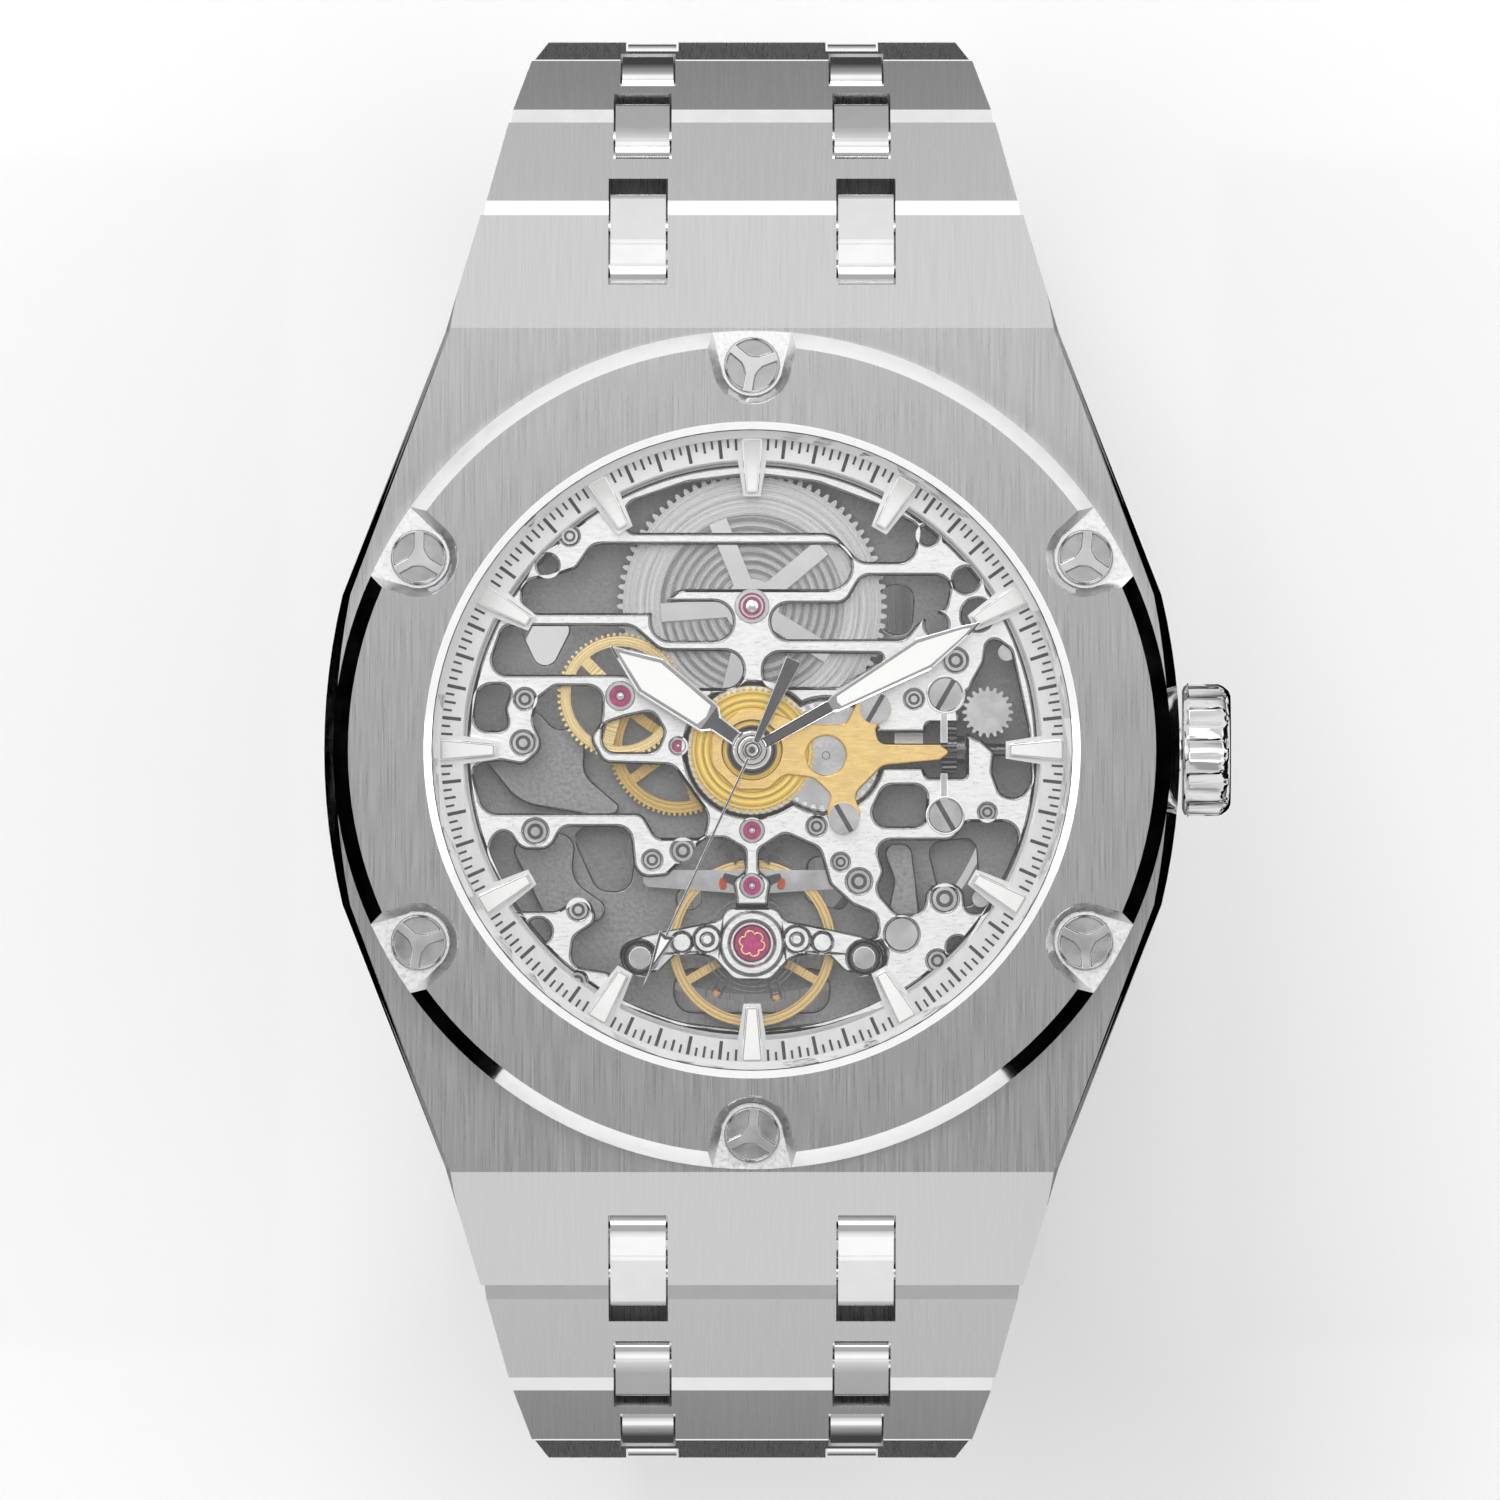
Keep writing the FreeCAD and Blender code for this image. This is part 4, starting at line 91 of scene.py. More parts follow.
class Surface:
    """A node material built step by step round one Principled shader."""

    def __init__(self, name, color, metallic, roughness, **sockets):
        self.material = bpy.data.materials.new(name)
        self.material.use_nodes = True
        self.tree = self.material.node_tree
        self.shader = self.tree.nodes["Principled BSDF"]
        self.color = color
        self.shader.inputs["Base Color"].default_value = (*color, 1)
        self.shader.inputs["Metallic"].default_value = metallic
        self.shader.inputs["Roughness"].default_value = roughness
        for socket, value in sockets.items():
            self.shader.inputs[socket.replace("_", " ")].default_value = value
        self.position = self.add("ShaderNodeTexCoord").outputs["Object"]

    def add(self, kind, **settings):
        made = self.tree.nodes.new(kind)
        for key, value in settings.items():
            setattr(made, key, value)
        return made

    def link(self, source, target):
        self.tree.links.new(source, target)

    def stretched(self, per_mm):
        """Object coordinates scaled to a number of cells per millimetre on each axis."""
        mapping = self.add("ShaderNodeMapping")
        mapping.inputs["Scale"].default_value = [n / MM for n in per_mm]
        self.link(self.position, mapping.inputs["Vector"])
        return mapping.outputs["Vector"]

    def noise(self, per_mm, detail=2.0):
        """Noise between 0 and 1 with cells of the given sizes."""
        texture = self.add("ShaderNodeTexNoise")
        texture.inputs["Scale"].default_value = 1.0
        texture.inputs["Detail"].default_value = detail
        self.link(self.stretched(per_mm), texture.inputs["Vector"])
        return texture.outputs["Fac"]

    def rings(self, centre, per_mm):
        """Fine circles round a point in the XY plane."""
        shift = self.add("ShaderNodeVectorMath", operation="SUBTRACT")
        shift.inputs[1].default_value = (centre[0] * MM, centre[1] * MM, 0)
        self.link(self.position, shift.inputs[0])
        flat = self.add("ShaderNodeVectorMath", operation="MULTIPLY")
        flat.inputs[1].default_value = (1, 1, 0)
        self.link(shift.outputs[0], flat.inputs[0])
        radius = self.add("ShaderNodeVectorMath", operation="LENGTH")
        self.link(flat.outputs[0], radius.inputs[0])
        texture = self.add("ShaderNodeTexNoise", noise_dimensions="1D")
        texture.inputs["Scale"].default_value = per_mm / MM
        texture.inputs["Detail"].default_value = 3.0
        self.link(radius.outputs["Value"], texture.inputs["W"])
        return texture.outputs["Fac"]

    def vary_roughness(self, source, low, high):
        """Roughness from low to high over the middle of the noise."""
        spread = self.add("ShaderNodeMapRange")
        spread.inputs["From Min"].default_value, spread.inputs["From Max"].default_value = NOISE_MIDDLE
        spread.inputs["To Min"].default_value = low
        spread.inputs["To Max"].default_value = high
        self.link(source, spread.inputs["Value"])
        self.link(spread.outputs["Result"], self.shader.inputs["Roughness"])

    def vary_color(self, source, darker, lighter):
        """Base colour between two brightnesses of the surface's own colour."""
        ramp = self.add("ShaderNodeValToRGB")
        ramp.color_ramp.elements[0].position, ramp.color_ramp.elements[1].position = NOISE_MIDDLE
        ramp.color_ramp.elements[0].color = (*(c * darker for c in self.color), 1)
        ramp.color_ramp.elements[1].color = (*(min(c * lighter, 1) for c in self.color), 1)
        self.link(source, ramp.inputs["Fac"])
        self.link(ramp.outputs["Color"], self.shader.inputs["Base Color"])

    def bump(self, source, depth_mm, strength=0.5):
        made = self.add("ShaderNodeBump")
        made.inputs["Distance"].default_value = depth_mm * MM
        made.inputs["Strength"].default_value = strength
        self.link(source, made.inputs["Height"])
        self.link(made.outputs["Normal"], self.shader.inputs["Normal"])

    def grain_along(self, direction):
        """Stretches highlights across the grain."""
        vector = self.add("ShaderNodeCombineXYZ")
        for name, part in zip("XYZ", direction):
            vector.inputs[name].default_value = part
        self.link(vector.outputs[0], self.shader.inputs["Tangent"])


# each grain's noise cells on the three axes, and the direction across its lines
GRAIN = {
    "across": ((0.25, 1.0, 0.25), (0, 1, 0)),
    "length": ((1.0, 0.02, 0.02), (1, 0, 0)),
    "flank": ((0.02, 0.02, 1.0), (0, 0, 1)),
}


def brushed(name, color, roughness, grain="length", fineness=14.0, contrast=0.06, stretch=0.7):
    """Straight-grained metal, with its grain across the dial, along the watch, or level round a flank."""
    shares, tangent = GRAIN[grain]
    cells = [fineness * share for share in shares]
    made = Surface(name, color, 1.0, roughness, Anisotropic=stretch)
    lines = made.noise(cells, 3.0)
    made.vary_roughness(lines, roughness * 0.85, roughness * 1.2)
    made.vary_color(lines, 1 - contrast, 1 + contrast * 0.6)
    made.bump(lines, 0.004, 0.35)
    made.grain_along(tangent)
    return made.material


def polished(name, color, roughness=0.06):
    """Mirror-polished metal with faint haze and handling marks."""
    made = Surface(name, color, 1.0, roughness)
    haze = made.noise((0.8, 0.8, 0.8), 4.0)
    made.vary_roughness(haze, roughness * 0.6, roughness * 1.7)
    made.vary_color(haze, 0.97, 1.02)
    made.bump(made.noise((1.5, 1.5, 1.5), 2.0), 0.002, 0.2)
    return made.material


def frosted(name, color, roughness=0.42, sparkle=0.24):
    """Bead-blasted metal with a fine sparkle."""
    made = Surface(name, color, 1.0, roughness)
    grain = made.noise((5, 5, 5), 6.0)
    made.vary_roughness(grain, roughness * 0.7, roughness * 1.3)
    made.vary_color(grain, 1 - sparkle, 1 + sparkle)
    made.bump(grain, 0.08 * sparkle, 0.6)
    return made.material


def turned_metal(name, color, centre, roughness=0.24, per_mm=9.0, contrast=0.16):
    """Metal with circular graining about a point."""
    made = Surface(name, color, 1.0, roughness)
    circles = made.rings(centre, per_mm)
    made.vary_roughness(circles, roughness * 0.7, roughness * 1.35)
    made.vary_color(circles, 1 - contrast, 1 + contrast * 0.5)
    made.bump(circles, 0.01, 0.5)
    return made.material


def painted(name, color, roughness=0.5):
    """Paint, print or lume: fine-grained and matte."""
    made = Surface(name, color, 0.0, roughness)
    grain = made.noise((20, 20, 20), 2.0)
    made.vary_color(grain, 0.97, 1.0)
    made.vary_roughness(grain, roughness * 0.9, roughness * 1.1)
    made.bump(grain, 0.004, 0.3)
    return made.material


STEEL = (0.66, 0.66, 0.665)
GILT = (0.90, 0.62, 0.22)

brushed_steel = brushed("brushed_steel", (0.48, 0.48, 0.485), 0.30, contrast=0.12, stretch=0.9)
slope_steel = brushed("slope_brushed_steel", (0.60, 0.60, 0.605), 0.32)
link_steel = brushed("link_brushed_steel", (0.60, 0.60, 0.605), 0.28, fineness=10.0)
side_steel = brushed("side_brushed_steel", STEEL, 0.30, "flank")
mirror_steel = polished("mirror_steel", (0.90, 0.90, 0.91), 0.05)
crown_steel = polished("crown_steel", (0.72, 0.72, 0.73), 0.07)
screw_steel = polished("screw_steel", (0.72, 0.72, 0.73), 0.14)
recess_steel = frosted("recess_steel", (0.86, 0.86, 0.86), 0.34, sparkle=0.06)
# darker copy of the recess steel for the recess walls: painted shade
shaded_wall_steel = frosted("shaded_recess_wall_steel", (0.62, 0.62, 0.62), 0.36, sparkle=0.08)
# darker copy of the screw steel for the bezel screws' dished facets and sides: painted shade round the
# screw heads
shaded_dish_steel = polished("shaded_dished_steel", (0.46, 0.46, 0.465), 0.22)
hand_steel = polished("hand_steel", (0.52, 0.52, 0.53), 0.1)
plate_steel = brushed("plate_steel", (0.85, 0.85, 0.85), 0.30, "across", fineness=9.0,
                      contrast=0.08)
# dark copy of the plate steel for the bevels of the plate and bridges: painted shade along the edges of the
# openings
shaded_bevel_steel = polished("shaded_bevel_steel", (0.26, 0.26, 0.265), 0.2)
# frosted steel coloured darker than steel: painted shade over the deep rear and setting bridges and the
# rotor
frosted_steel = frosted("frosted_steel", (0.30, 0.30, 0.305))
holder_steel = brushed("holder_steel", (0.42, 0.42, 0.43), 0.38, "across")
dark_steel = polished("dark_steel", (0.13, 0.13, 0.14), 0.15)
black_polish = polished("black_polished_steel", (0.16, 0.16, 0.17), 0.10)
bright_metal = polished("bright_metal", (0.85, 0.85, 0.86), 0.1)
rose_gilt = polished("rose_gilt", (0.92, 0.55, 0.30), 0.14)
spring_steel = polished("spring_steel", (0.28, 0.28, 0.29), 0.2)
ring_silver = brushed("ring_silver", (0.84, 0.84, 0.84), 0.42, fineness=8.0, contrast=0.03)
gilt_bridge = brushed("gilt_bridge", (1.0, 0.70, 0.28), 0.2, "across", fineness=8.0, contrast=0.05)
# darker copy of the bridge gilt for the motion bridge's bevels: painted shade along its edges
shaded_gilt_bevel = polished("shaded_gilt_bevel", (0.75, 0.45, 0.12), 0.12)
print_dark = painted("print_dark", (0.03, 0.03, 0.03), 0.45)
lume_white = painted("lume_white", (0.92, 0.92, 0.90), 0.6)
flange_white = painted("flange_white", (0.86, 0.86, 0.86), 0.45)
rubber = painted("gasket_nylon", (0.75, 0.75, 0.75), 0.5)


def ruby():
    """Synthetic ruby: deep pink-red, glossy, a little light passing through."""
    made = Surface("ruby", (0.55, 0.02, 0.20), 0.0, 0.06, Coat_Weight=0.6, Coat_Roughness=0.03,
                   Transmission_Weight=0.25, IOR=1.76)
    made.vary_color(made.noise((3, 3, 3), 2.0), 0.75, 1.35)
    return made.material


def stone():
    """Orange-red pallet ruby, glossy and lit from within."""
    made = Surface("pallet_stone", (0.85, 0.12, 0.01), 0.0, 0.08, Coat_Weight=0.5, Transmission_Weight=0.2)
    made.vary_color(made.noise((5, 5, 5), 2.0), 0.7, 1.4)
    return made.material


def sapphire():
    """Clear front crystal: a faint surface gloss over full transparency."""
    made = Surface("sapphire", (1.0, 1.0, 1.0), 0.0, 0.02, Alpha=0.03, IOR=1.5)
    made.vary_roughness(made.noise((0.4, 0.4, 0.4), 2.0), 0.015, 0.03)
    return made.material


ruby_red = ruby()
stone_red = stone()
clear_glass = sapphire()


def gilt_about(name, joint, color=GILT, **more):
    """Gilt with circular grain about a wheel's own axis."""
    place = axis_of(joint)
    return turned_metal(name, color, (place.x, place.y), **more)


# ---------------------------------------------------------------- dressing the CAD nodes
def dress(node, *materials):
    """Replaces a node's materials; the first covers every face."""
    mesh = NODES[node].data
    mesh.materials.clear()
    for material in materials:
        mesh.materials.append(material)
    for face in mesh.polygons:
        face.material_index = 0


def paint(node, index, test):
    """Gives the faces that pass the test another of the node's materials."""
    for face in NODES[node].data.polygons:
        if test(face.center / MM, face.normal, face):
            face.material_index = index


def soften(node, width_mm, index=-1):
    """Small bevels on a node's sharp edges, in another material if an index is given."""
    piece = NODES[node]
    weld = piece.modifiers.new("joined_edges", "WELD")
    weld.merge_threshold = 1e-7
    bevel = piece.modifiers.new("small_bevels", "BEVEL")
    bevel.width = width_mm * MM
    bevel.segments = 1
    bevel.limit_method = "ANGLE"
    bevel.angle_limit = math.radians(35)
    bevel.use_clamp_overlap = False
    bevel.loop_slide = False
    bevel.harden_normals = True
    bevel.material = index


def is_slope(at, normal, face):
    """Whether a face is one of the middle's slopes down to the bracelet."""
    return 0.5 < normal.z < 0.98 and abs(normal.y) > 0.4 and abs(normal.x) < 0.2


def is_flank_facet(at, normal, face):
    """Whether a face is of the facet along a flank's upper edge."""
    return at.z > 7.2 and 0.2 < normal.z < 0.98 and abs(normal.x) > 0.2


def in_recess(at):
    """Whether a point lies on a wall of one of the bezel's six screw recesses."""
    turned = math.degrees(math.atan2(at.x, at.y)) % 60
    aside = math.radians(min(turned, 60 - turned))
    return 16.6 < at.xy.length < 21.2 and at.xy.length * aside < 2.6 and 9.7 < at.z < 10.35


def faces_outwards(at, normal):
    """Whether a face looks away from the axis of the hands, as the bezel's chamfer does."""
    return normal.xy.dot(at.xy.normalized()) > 0.6


PLATE_TOP = level("mainplate")
SCREW_TOP = level("bezel_screws")
BARREL_TOP = level("barrel")
BARREL = axis_of("barrel_turn").xy


def is_groove(height):
    """Whether a height is that of a screw slot's floor or of the groove round a pin."""
    return any(abs(height - PLATE_TOP - depth) < 0.015 for depth in (-0.3, -0.02, 0.38))


# case: brushed top and slopes, polished flank facet, satin sides
dress("case_middle", side_steel, brushed_steel, slope_steel, mirror_steel)
paint("case_middle", 1, lambda at, normal, face: normal.z > 0.98 and at.z > 8)
paint("case_middle", 2, is_slope)
paint("case_middle", 3, is_flank_facet)

# bezel: brushed face, polished chamfers, satin recesses whose walls are painted darker as painted shade
dress("bezel", mirror_steel, brushed_steel, recess_steel, shaded_wall_steel)
paint("bezel", 1, lambda at, normal, face: normal.z > 0.999 and at.z > 10.3)
paint("bezel", 2, lambda at, normal, face: normal.z > 0.999 and at.z < 10.0)
paint("bezel", 3, lambda at, normal, face: in_recess(at) and not faces_outwards(at, normal))
# bezel screws: polished flat tops; the dished facets and sides are a darker copy, painted shade
dress("bezel_screws", screw_steel, shaded_dish_steel)
paint("bezel_screws", 1, lambda at, normal, face: normal.z < 0.999 or at.z < SCREW_TOP - 0.1)
dress("crystal", clear_glass)
dress("case_back_glass", clear_glass)
dress("crystal_gasket", rubber)
dress("case_back", brushed_steel)
dress("crown_tube", mirror_steel)
dress("movement_holder", holder_steel)
dress("chapter_ring", ring_silver)
dress("hour_markers", mirror_steel)
dress("mainplate", plate_steel, shaded_bevel_steel)
# the bridges' frosted steel is darkened as painted shade
dress("rear_bridge", frosted_steel, shaded_bevel_steel)
dress("setting_bridge", frosted_steel, shaded_bevel_steel)
dress("movement_screws", screw_steel, dark_steel)
# slot floors and pin grooves in dark steel: painted shade inside them
paint("movement_screws", 1, lambda at, normal, face: normal.z > 0.9 and is_groove(at.z))
dress("barrel", turned_metal("barrel_steel", (0.62, 0.62, 0.62), BARREL, 0.25, 5.0), mirror_steel)
paint("barrel", 1, lambda at, normal, face: at.z > BARREL_TOP - 0.01 and (at.xy - BARREL).length < 4.5)
dress("mainspring", spring_steel)
dress("ratchet_wheel", turned_metal("ratchet_steel", (0.55, 0.55, 0.55), BARREL))
dress("centre_wheel", gilt_about("centre_gilt", "minute_turn"))
dress("third_wheel", gilt_about("third_gilt", "third_turn", (0.72, 0.50, 0.18)))
dress("fourth_wheel", gilt_about("fourth_gilt", "seconds_turn"))
dress("escape_wheel", dark_steel)
dress("pallet_fork", dark_steel)
dress("balance_wheel", gilt_about("balance_gilt", "balance_swing", (0.93, 0.66, 0.30)))
dress("hairspring", spring_steel)
dress("balance_bridge", plate_steel, shaded_bevel_steel)
dress("reduction_wheel", gilt_about("reduction_gilt", "reduction_turn", (0.93, 0.72, 0.36)))
dress("hour_wheel", gilt_about("hour_gilt", "hour_turn", (0.93, 0.62, 0.16), roughness=0.3, per_mm=6.0,
                               contrast=0.35))
dress("minute_wheel", screw_steel)
# the motion bridge's bevels are darker gilt: painted shade
dress("motion_bridge", gilt_bridge, shaded_gilt_bevel)
dress("hour_hand", hand_steel, black_polish, mirror_steel)
dress("minute_hand", hand_steel, black_polish, mirror_steel)
paint("hour_hand", 1, lambda at, normal, face: at.xy.length < 2.6)
paint("minute_hand", 1, lambda at, normal, face: at.xy.length < 4.4)
dress("seconds_hand", black_polish, mirror_steel)
dress("winding_stem", dark_steel)
dress("sliding_pinion", dark_steel)
dress("winding_crown", crown_steel)
dress("setting_lever", plate_steel)
dress("setting_wheel", screw_steel)
# the rotor's frosted steel is darkened as painted shade
dress("rotor", frosted_steel)
dress("jewels", ruby_red)
dress("bearings_and_posts", screw_steel)
# the bevels of the plate and bridges take their dark second material: painted shade
soften("mainplate", 0.16, 1)
soften("rear_bridge", 0.1, 1)
soften("setting_bridge", 0.1, 1)
soften("balance_bridge", 0.1, 1)
soften("motion_bridge", 0.07, 1)
soften("hour_markers", 0.06)
soften("hour_hand", 0.09, 2)
soften("minute_hand", 0.07, 2)
soften("seconds_hand", 0.03, 1)
soften("winding_crown", 0.12)
soften("bezel_screws", 0.05)


# bracelet: satin plates with a polished near bevel, mirror-polished studs
STUD_PLACES = (5.6, 5.4, 5.15, 4.95, 4.8, 4.65, 4.55)
STUD_HALVES = (1.36, 1.33, 1.26, 1.2, 1.16, 1.13, 1.1)


def is_near_bevel(normal, run, out):
    """Whether a face of a link slopes from its outer face to its near end."""
    return 0.2 < normal.dot(out) < 0.97 and normal.dot(run) < -0.2


def dress_link(node, number, hinge, next_hinge):
    """Brushed plate, polished near bevel and polished studs."""
    run = (next_hinge - hinge).normalized()
    across = Vector((1, 0, 0))
    out = across.cross(run) if across.cross(run).dot(hinge) > 0 else run.cross(across)
    place, half = STUD_PLACES[number], STUD_HALVES[number] + 0.03
    mesh = NODES[node].data
    dress(node, link_steel, mirror_steel)

    def is_polished(at, normal, face):
        corners = [abs(mesh.vertices[i].co.x) / MM for i in face.vertices]
        stud = all(abs(x - place) < half for x in corners)
        return stud or is_near_bevel(normal, run, out)

    paint(node, 1, is_polished)


for side in ("12", "6"):
    for number in range(7):
        here = axis_of(f"link_{side}_{number + 1}_bend")
        if number < 6:
            there = axis_of(f"link_{side}_{number + 2}_bend")
        else:
            there = axis_of("clasp_cover_bend")
            if side == "6":
                there.y = -there.y  # the outer blade's pin lies opposite the cover's
        dress_link(f"link_{side}_{number + 1}", number, here, there)
for node in ("clasp_cover", "clasp_inner_blade", "clasp_outer_blade"):
    dress(node, brushed_steel, mirror_steel)
for node in ("clasp_button_crown_side", "clasp_button_far_side"):
    dress(node, mirror_steel)


# ---------------------------------------------------------------- pieces made here
def finish_piece(name, form, body, material, bevel_mm=0.0, smooth=False):
    """Makes a piece from a bmesh in millimetres and puts it on its body."""
    for vert in form.verts:
        vert.co *= MM
    mesh = bpy.data.meshes.new(name)
    form.normal_update()
    form.to_mesh(mesh)
    form.free()
    piece = bpy.data.objects.new(name, mesh)
    bpy.context.scene.collection.objects.link(piece)
    mesh.materials.append(material)
    if smooth:
        mesh.shade_smooth()
    if bevel_mm:
        bevel = piece.modifiers.new("small_bevels", "BEVEL")
        bevel.width = bevel_mm * MM
        bevel.segments = 2
        bevel.limit_method = "ANGLE"
        bevel.use_clamp_overlap = True
    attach(piece, body)


def prism(form, outline, floor, top):
    """A straight-sided closed piece over a flat outline."""
    low = [form.verts.new((x, y, floor)) for x, y in outline]
    high = [form.verts.new((x, y, top)) for x, y in outline]
    form.faces.new(low[::-1])
    form.faces.new(high)
    for i in range(len(low)):
        j = (i + 1) % len(low)
        form.faces.new((low[i], low[j], high[j], high[i]))


def lathe(form, profile, centre, steps=48):
    """A closed turned piece from (radius, height) points about a vertical axis."""
    rings = []
    for radius, height in profile:
        if radius == 0:
            rings.append([form.verts.new((centre[0], centre[1], height))])
        else:
            spots = [around(radius, 0, 360 * i / steps) for i in range(steps)]
            rings.append([form.verts.new((centre[0] + x, centre[1] + y, height)) for x, y in spots])
    for lower, upper in zip(rings, rings[1:]):
        for i in range(steps):
            j = (i + 1) % steps
            corners = [lower[i % len(lower)], lower[j % len(lower)],
                       upper[j % len(upper)], upper[i % len(upper)]]
            corners = list(dict.fromkeys(corners))
            if len(corners) > 2:
                form.faces.new(corners)


def minute_track():
    """Printed scale of quarter-minutes on the chapter ring."""
    form = bmesh.new()
    floor = level("chapter_ring") - 0.005
    rim = 15.28
    minute, half_minute, quarter = (0.92, 0.17), (0.56, 0.12), (0.42, 0.11)
    for tick in range(240):
        if tick % 20 in (0, 1, 19):
            continue
        length, width = {0: minute, 2: half_minute}.get(tick % 4, quarter)
        half = width / 2
        corners = [(-half, rim - length), (half, rim - length), (half, rim), (-half, rim)]
        prism(form, [around(x, y, -1.5 * tick) for x, y in corners], floor, floor + 0.02)
    finish_piece("minute_track", form, "case", print_dark)


def marker_lume():
    """White filling on each applied marker."""
    form = bmesh.new()
    floor = level("hour_markers") - 0.03
    for hour in range(12):
        corners = [(-0.2, 12.72), (0.2, 12.72), (0.42, 15.2), (-0.42, 15.2)]
        prism(form, [around(x, y, -30 * hour) for x, y in corners], floor, floor + 0.07)
    finish_piece("marker_lume", form, "case", lume_white, 0.03)


def hand_lume(name, node, body, outline):
    """White filling of a hand, over its blade."""
    form = bmesh.new()
    floor = level(node) - 0.08
    angle = -tip_angle(node)
    prism(form, [around(x, y, angle) for x, y in outline], floor, floor + 0.05)
    finish_piece(name, form, body, lume_white, 0.02)


def flat_ring(form, centre, inner, outer, floor, top, round_mm=0.04, steps=48):
    """A flat ring with eased edges."""
    lathe(form, [(inner, floor), (outer, floor), (outer, top - round_mm), (outer - round_mm, top),
                 (inner + round_mm, top), (inner, top - round_mm), (inner, floor)], centre, steps)


def wire_ring(name, points, radius, body, material, sides=8):
    """A round wire through points in millimetres, closed on itself."""
    form = bmesh.new()
    rings = []
    for i, point in enumerate(points):
        ahead = (points[(i + 1) % len(points)] - points[i - 1]).normalized()
        side = ahead.cross(Vector((0, 0, 1))).normalized()
        up = side.cross(ahead)
        turns = [2 * math.pi * k / sides for k in range(sides)]
        rings.append([form.verts.new(point + radius * (side * math.cos(turn) + up * math.sin(turn)))
                      for turn in turns])
    for first, second in zip(rings, rings[1:] + rings[:1]):
        for k in range(sides):
            form.faces.new((first[k], first[(k + 1) % sides], second[(k + 1) % sides], second[k]))
    finish_piece(name, form, body, material, smooth=True)


def jewel_settings():
    """Polished settings round the plate's rubies, and a thin ring round each pivot."""
    form = bmesh.new()
    top = level("mainplate")
    for joint, radius in (("reduction_turn", 0.58), ("third_turn", 0.33), ("escape_turn", 0.48),
                          ("pallet_rock", 0.48), ("barrel_turn", 0.7)):
        place = axis_of(joint)
        flat_ring(form, place, radius * 0.93, radius * 1.22, top - 0.06, top + 0.03)
        flat_ring(form, place, radius * 0.2, radius * 0.34, top - 0.2, top - 0.12, 0.02)
    flat_ring(form, BARREL, 0.46, 0.56, top - 0.1, top + 0.02, 0.02)
    finish_piece("jewel_settings", form, "case", bright_metal)


def pivots():
    """Ends of the staffs in their rubies."""
    form = bmesh.new()
    top = level("mainplate")
    for joint, radius in (("reduction_turn", 0.12), ("third_turn", 0.08), ("escape_turn", 0.1),
                          ("pallet_rock", 0.1), ("barrel_turn", 0.3)):
        profile = [(0, top - 0.16), (radius, top - 0.16), (radius, top - 0.08),
                   (radius * 0.6, top - 0.04), (0, top - 0.03)]
        lathe(form, profile, axis_of(joint), 24)
    finish_piece("pivot_ends", form, "case", bright_metal)


def shock_spring():
    """The lyre spring over the balance's cap jewel: a wavy gilt wire ring with a lobe at each sixth."""
    place = axis_of("balance_swing")
    height = level("jewels") + 0.03
    wire = []
    for i in range(120):
        degrees = 3 * i
        wave = math.cos(math.radians(6 * degrees))
        radius = 0.6 - 0.1 * max(wave, -0.2) ** 3 - 0.03 * wave
        wire.append(Vector((*(place.xy + Vector(around(radius, 0, degrees + 15))), height)))
    wire_ring("shock_spring", wire, 0.05, "case", rose_gilt)


def pallet_stones():
    """Two orange-red rubies in the arms of the pallet fork."""
    form = bmesh.new()
    place = axis_of("pallet_rock")
    floor, top = 4.9, 5.22
    outline = [(0, -0.32), (0.16, -0.24), (0.2, 0.0), (0.12, 0.24), (0, 0.3), (-0.12, 0.24),
               (-0.2, 0.0), (-0.16, -0.24)]
    for side in (1, -1):
        prism(form, [(place.x + side * 1.45 + x, place.y + 0.1 + y) for x, y in
                     (around(*spot, -12 * side) for spot in outline)], floor, top)
    finish_piece("pallet_stones", form, "pallet_fork", stone_red, 0.05)


def centre_collar():
    """Turned steel rings round the hands' centre, on the hour wheel's tube."""
    form = bmesh.new()
    floor = level("motion_bridge") + 0.02
    profile = [(0.63, floor), (1.22, floor), (1.22, floor + 0.1)]
    for i in range(4):
        outer = 1.22 - 0.145 * i
        rise = floor + 0.1 + 0.05 * i
        profile += [(outer - 0.03, rise + 0.05), (outer - 0.1, rise + 0.05), (outer - 0.12, rise)]
    profile += [(0.63, floor + 0.3), (0.63, floor)]
    lathe(form, profile, (0, 0), 64)
    finish_piece("centre_collar", form, "hour_arbor", black_polish)


def hub_rings():
    """Bright turned rings on the hubs of the three hands, and the seconds hand's pivot."""
    for node, body, inner, outer in (("hour_hand", "hour_arbor", 0.74, 0.88),
                                     ("minute_hand", "minute_arbor", 0.47, 0.6),
                                     ("seconds_hand", "seconds_arbor", 0.16, 0.24)):
        form = bmesh.new()
        flat_ring(form, (0, 0), inner, outer, level(node) - 0.05, level(node) + 0.04, 0.02)
        finish_piece(node + "_hub_ring", form, body, mirror_steel)


def flange():
    """The white sloping flange between the crystal and the minute scale."""
    form = bmesh.new()
    floor = level("chapter_ring") + 0.005
    lathe(form, [(15.36, floor), (15.62, floor), (15.62, 9.1), (15.55, 9.1), (15.36, floor + 0.1),
                 (15.36, floor)], (0, 0), 120)
    finish_piece("flange", form, "case", flange_white, smooth=True)


def arrow_lume():
    """White filling of the seconds hand's arrow head."""
    form = bmesh.new()
    angle = -tip_angle("seconds_hand")
    floor = level("seconds_hand") - 0.14
    outline = [(0.0, 10.25), (0.22, 10.15), (0.0, 11.5), (-0.22, 10.15)]
    prism(form, [around(x, y, angle) for x, y in outline], floor, floor + 0.06)
    finish_piece("arrow_lume", form, "seconds_arbor", lume_white)


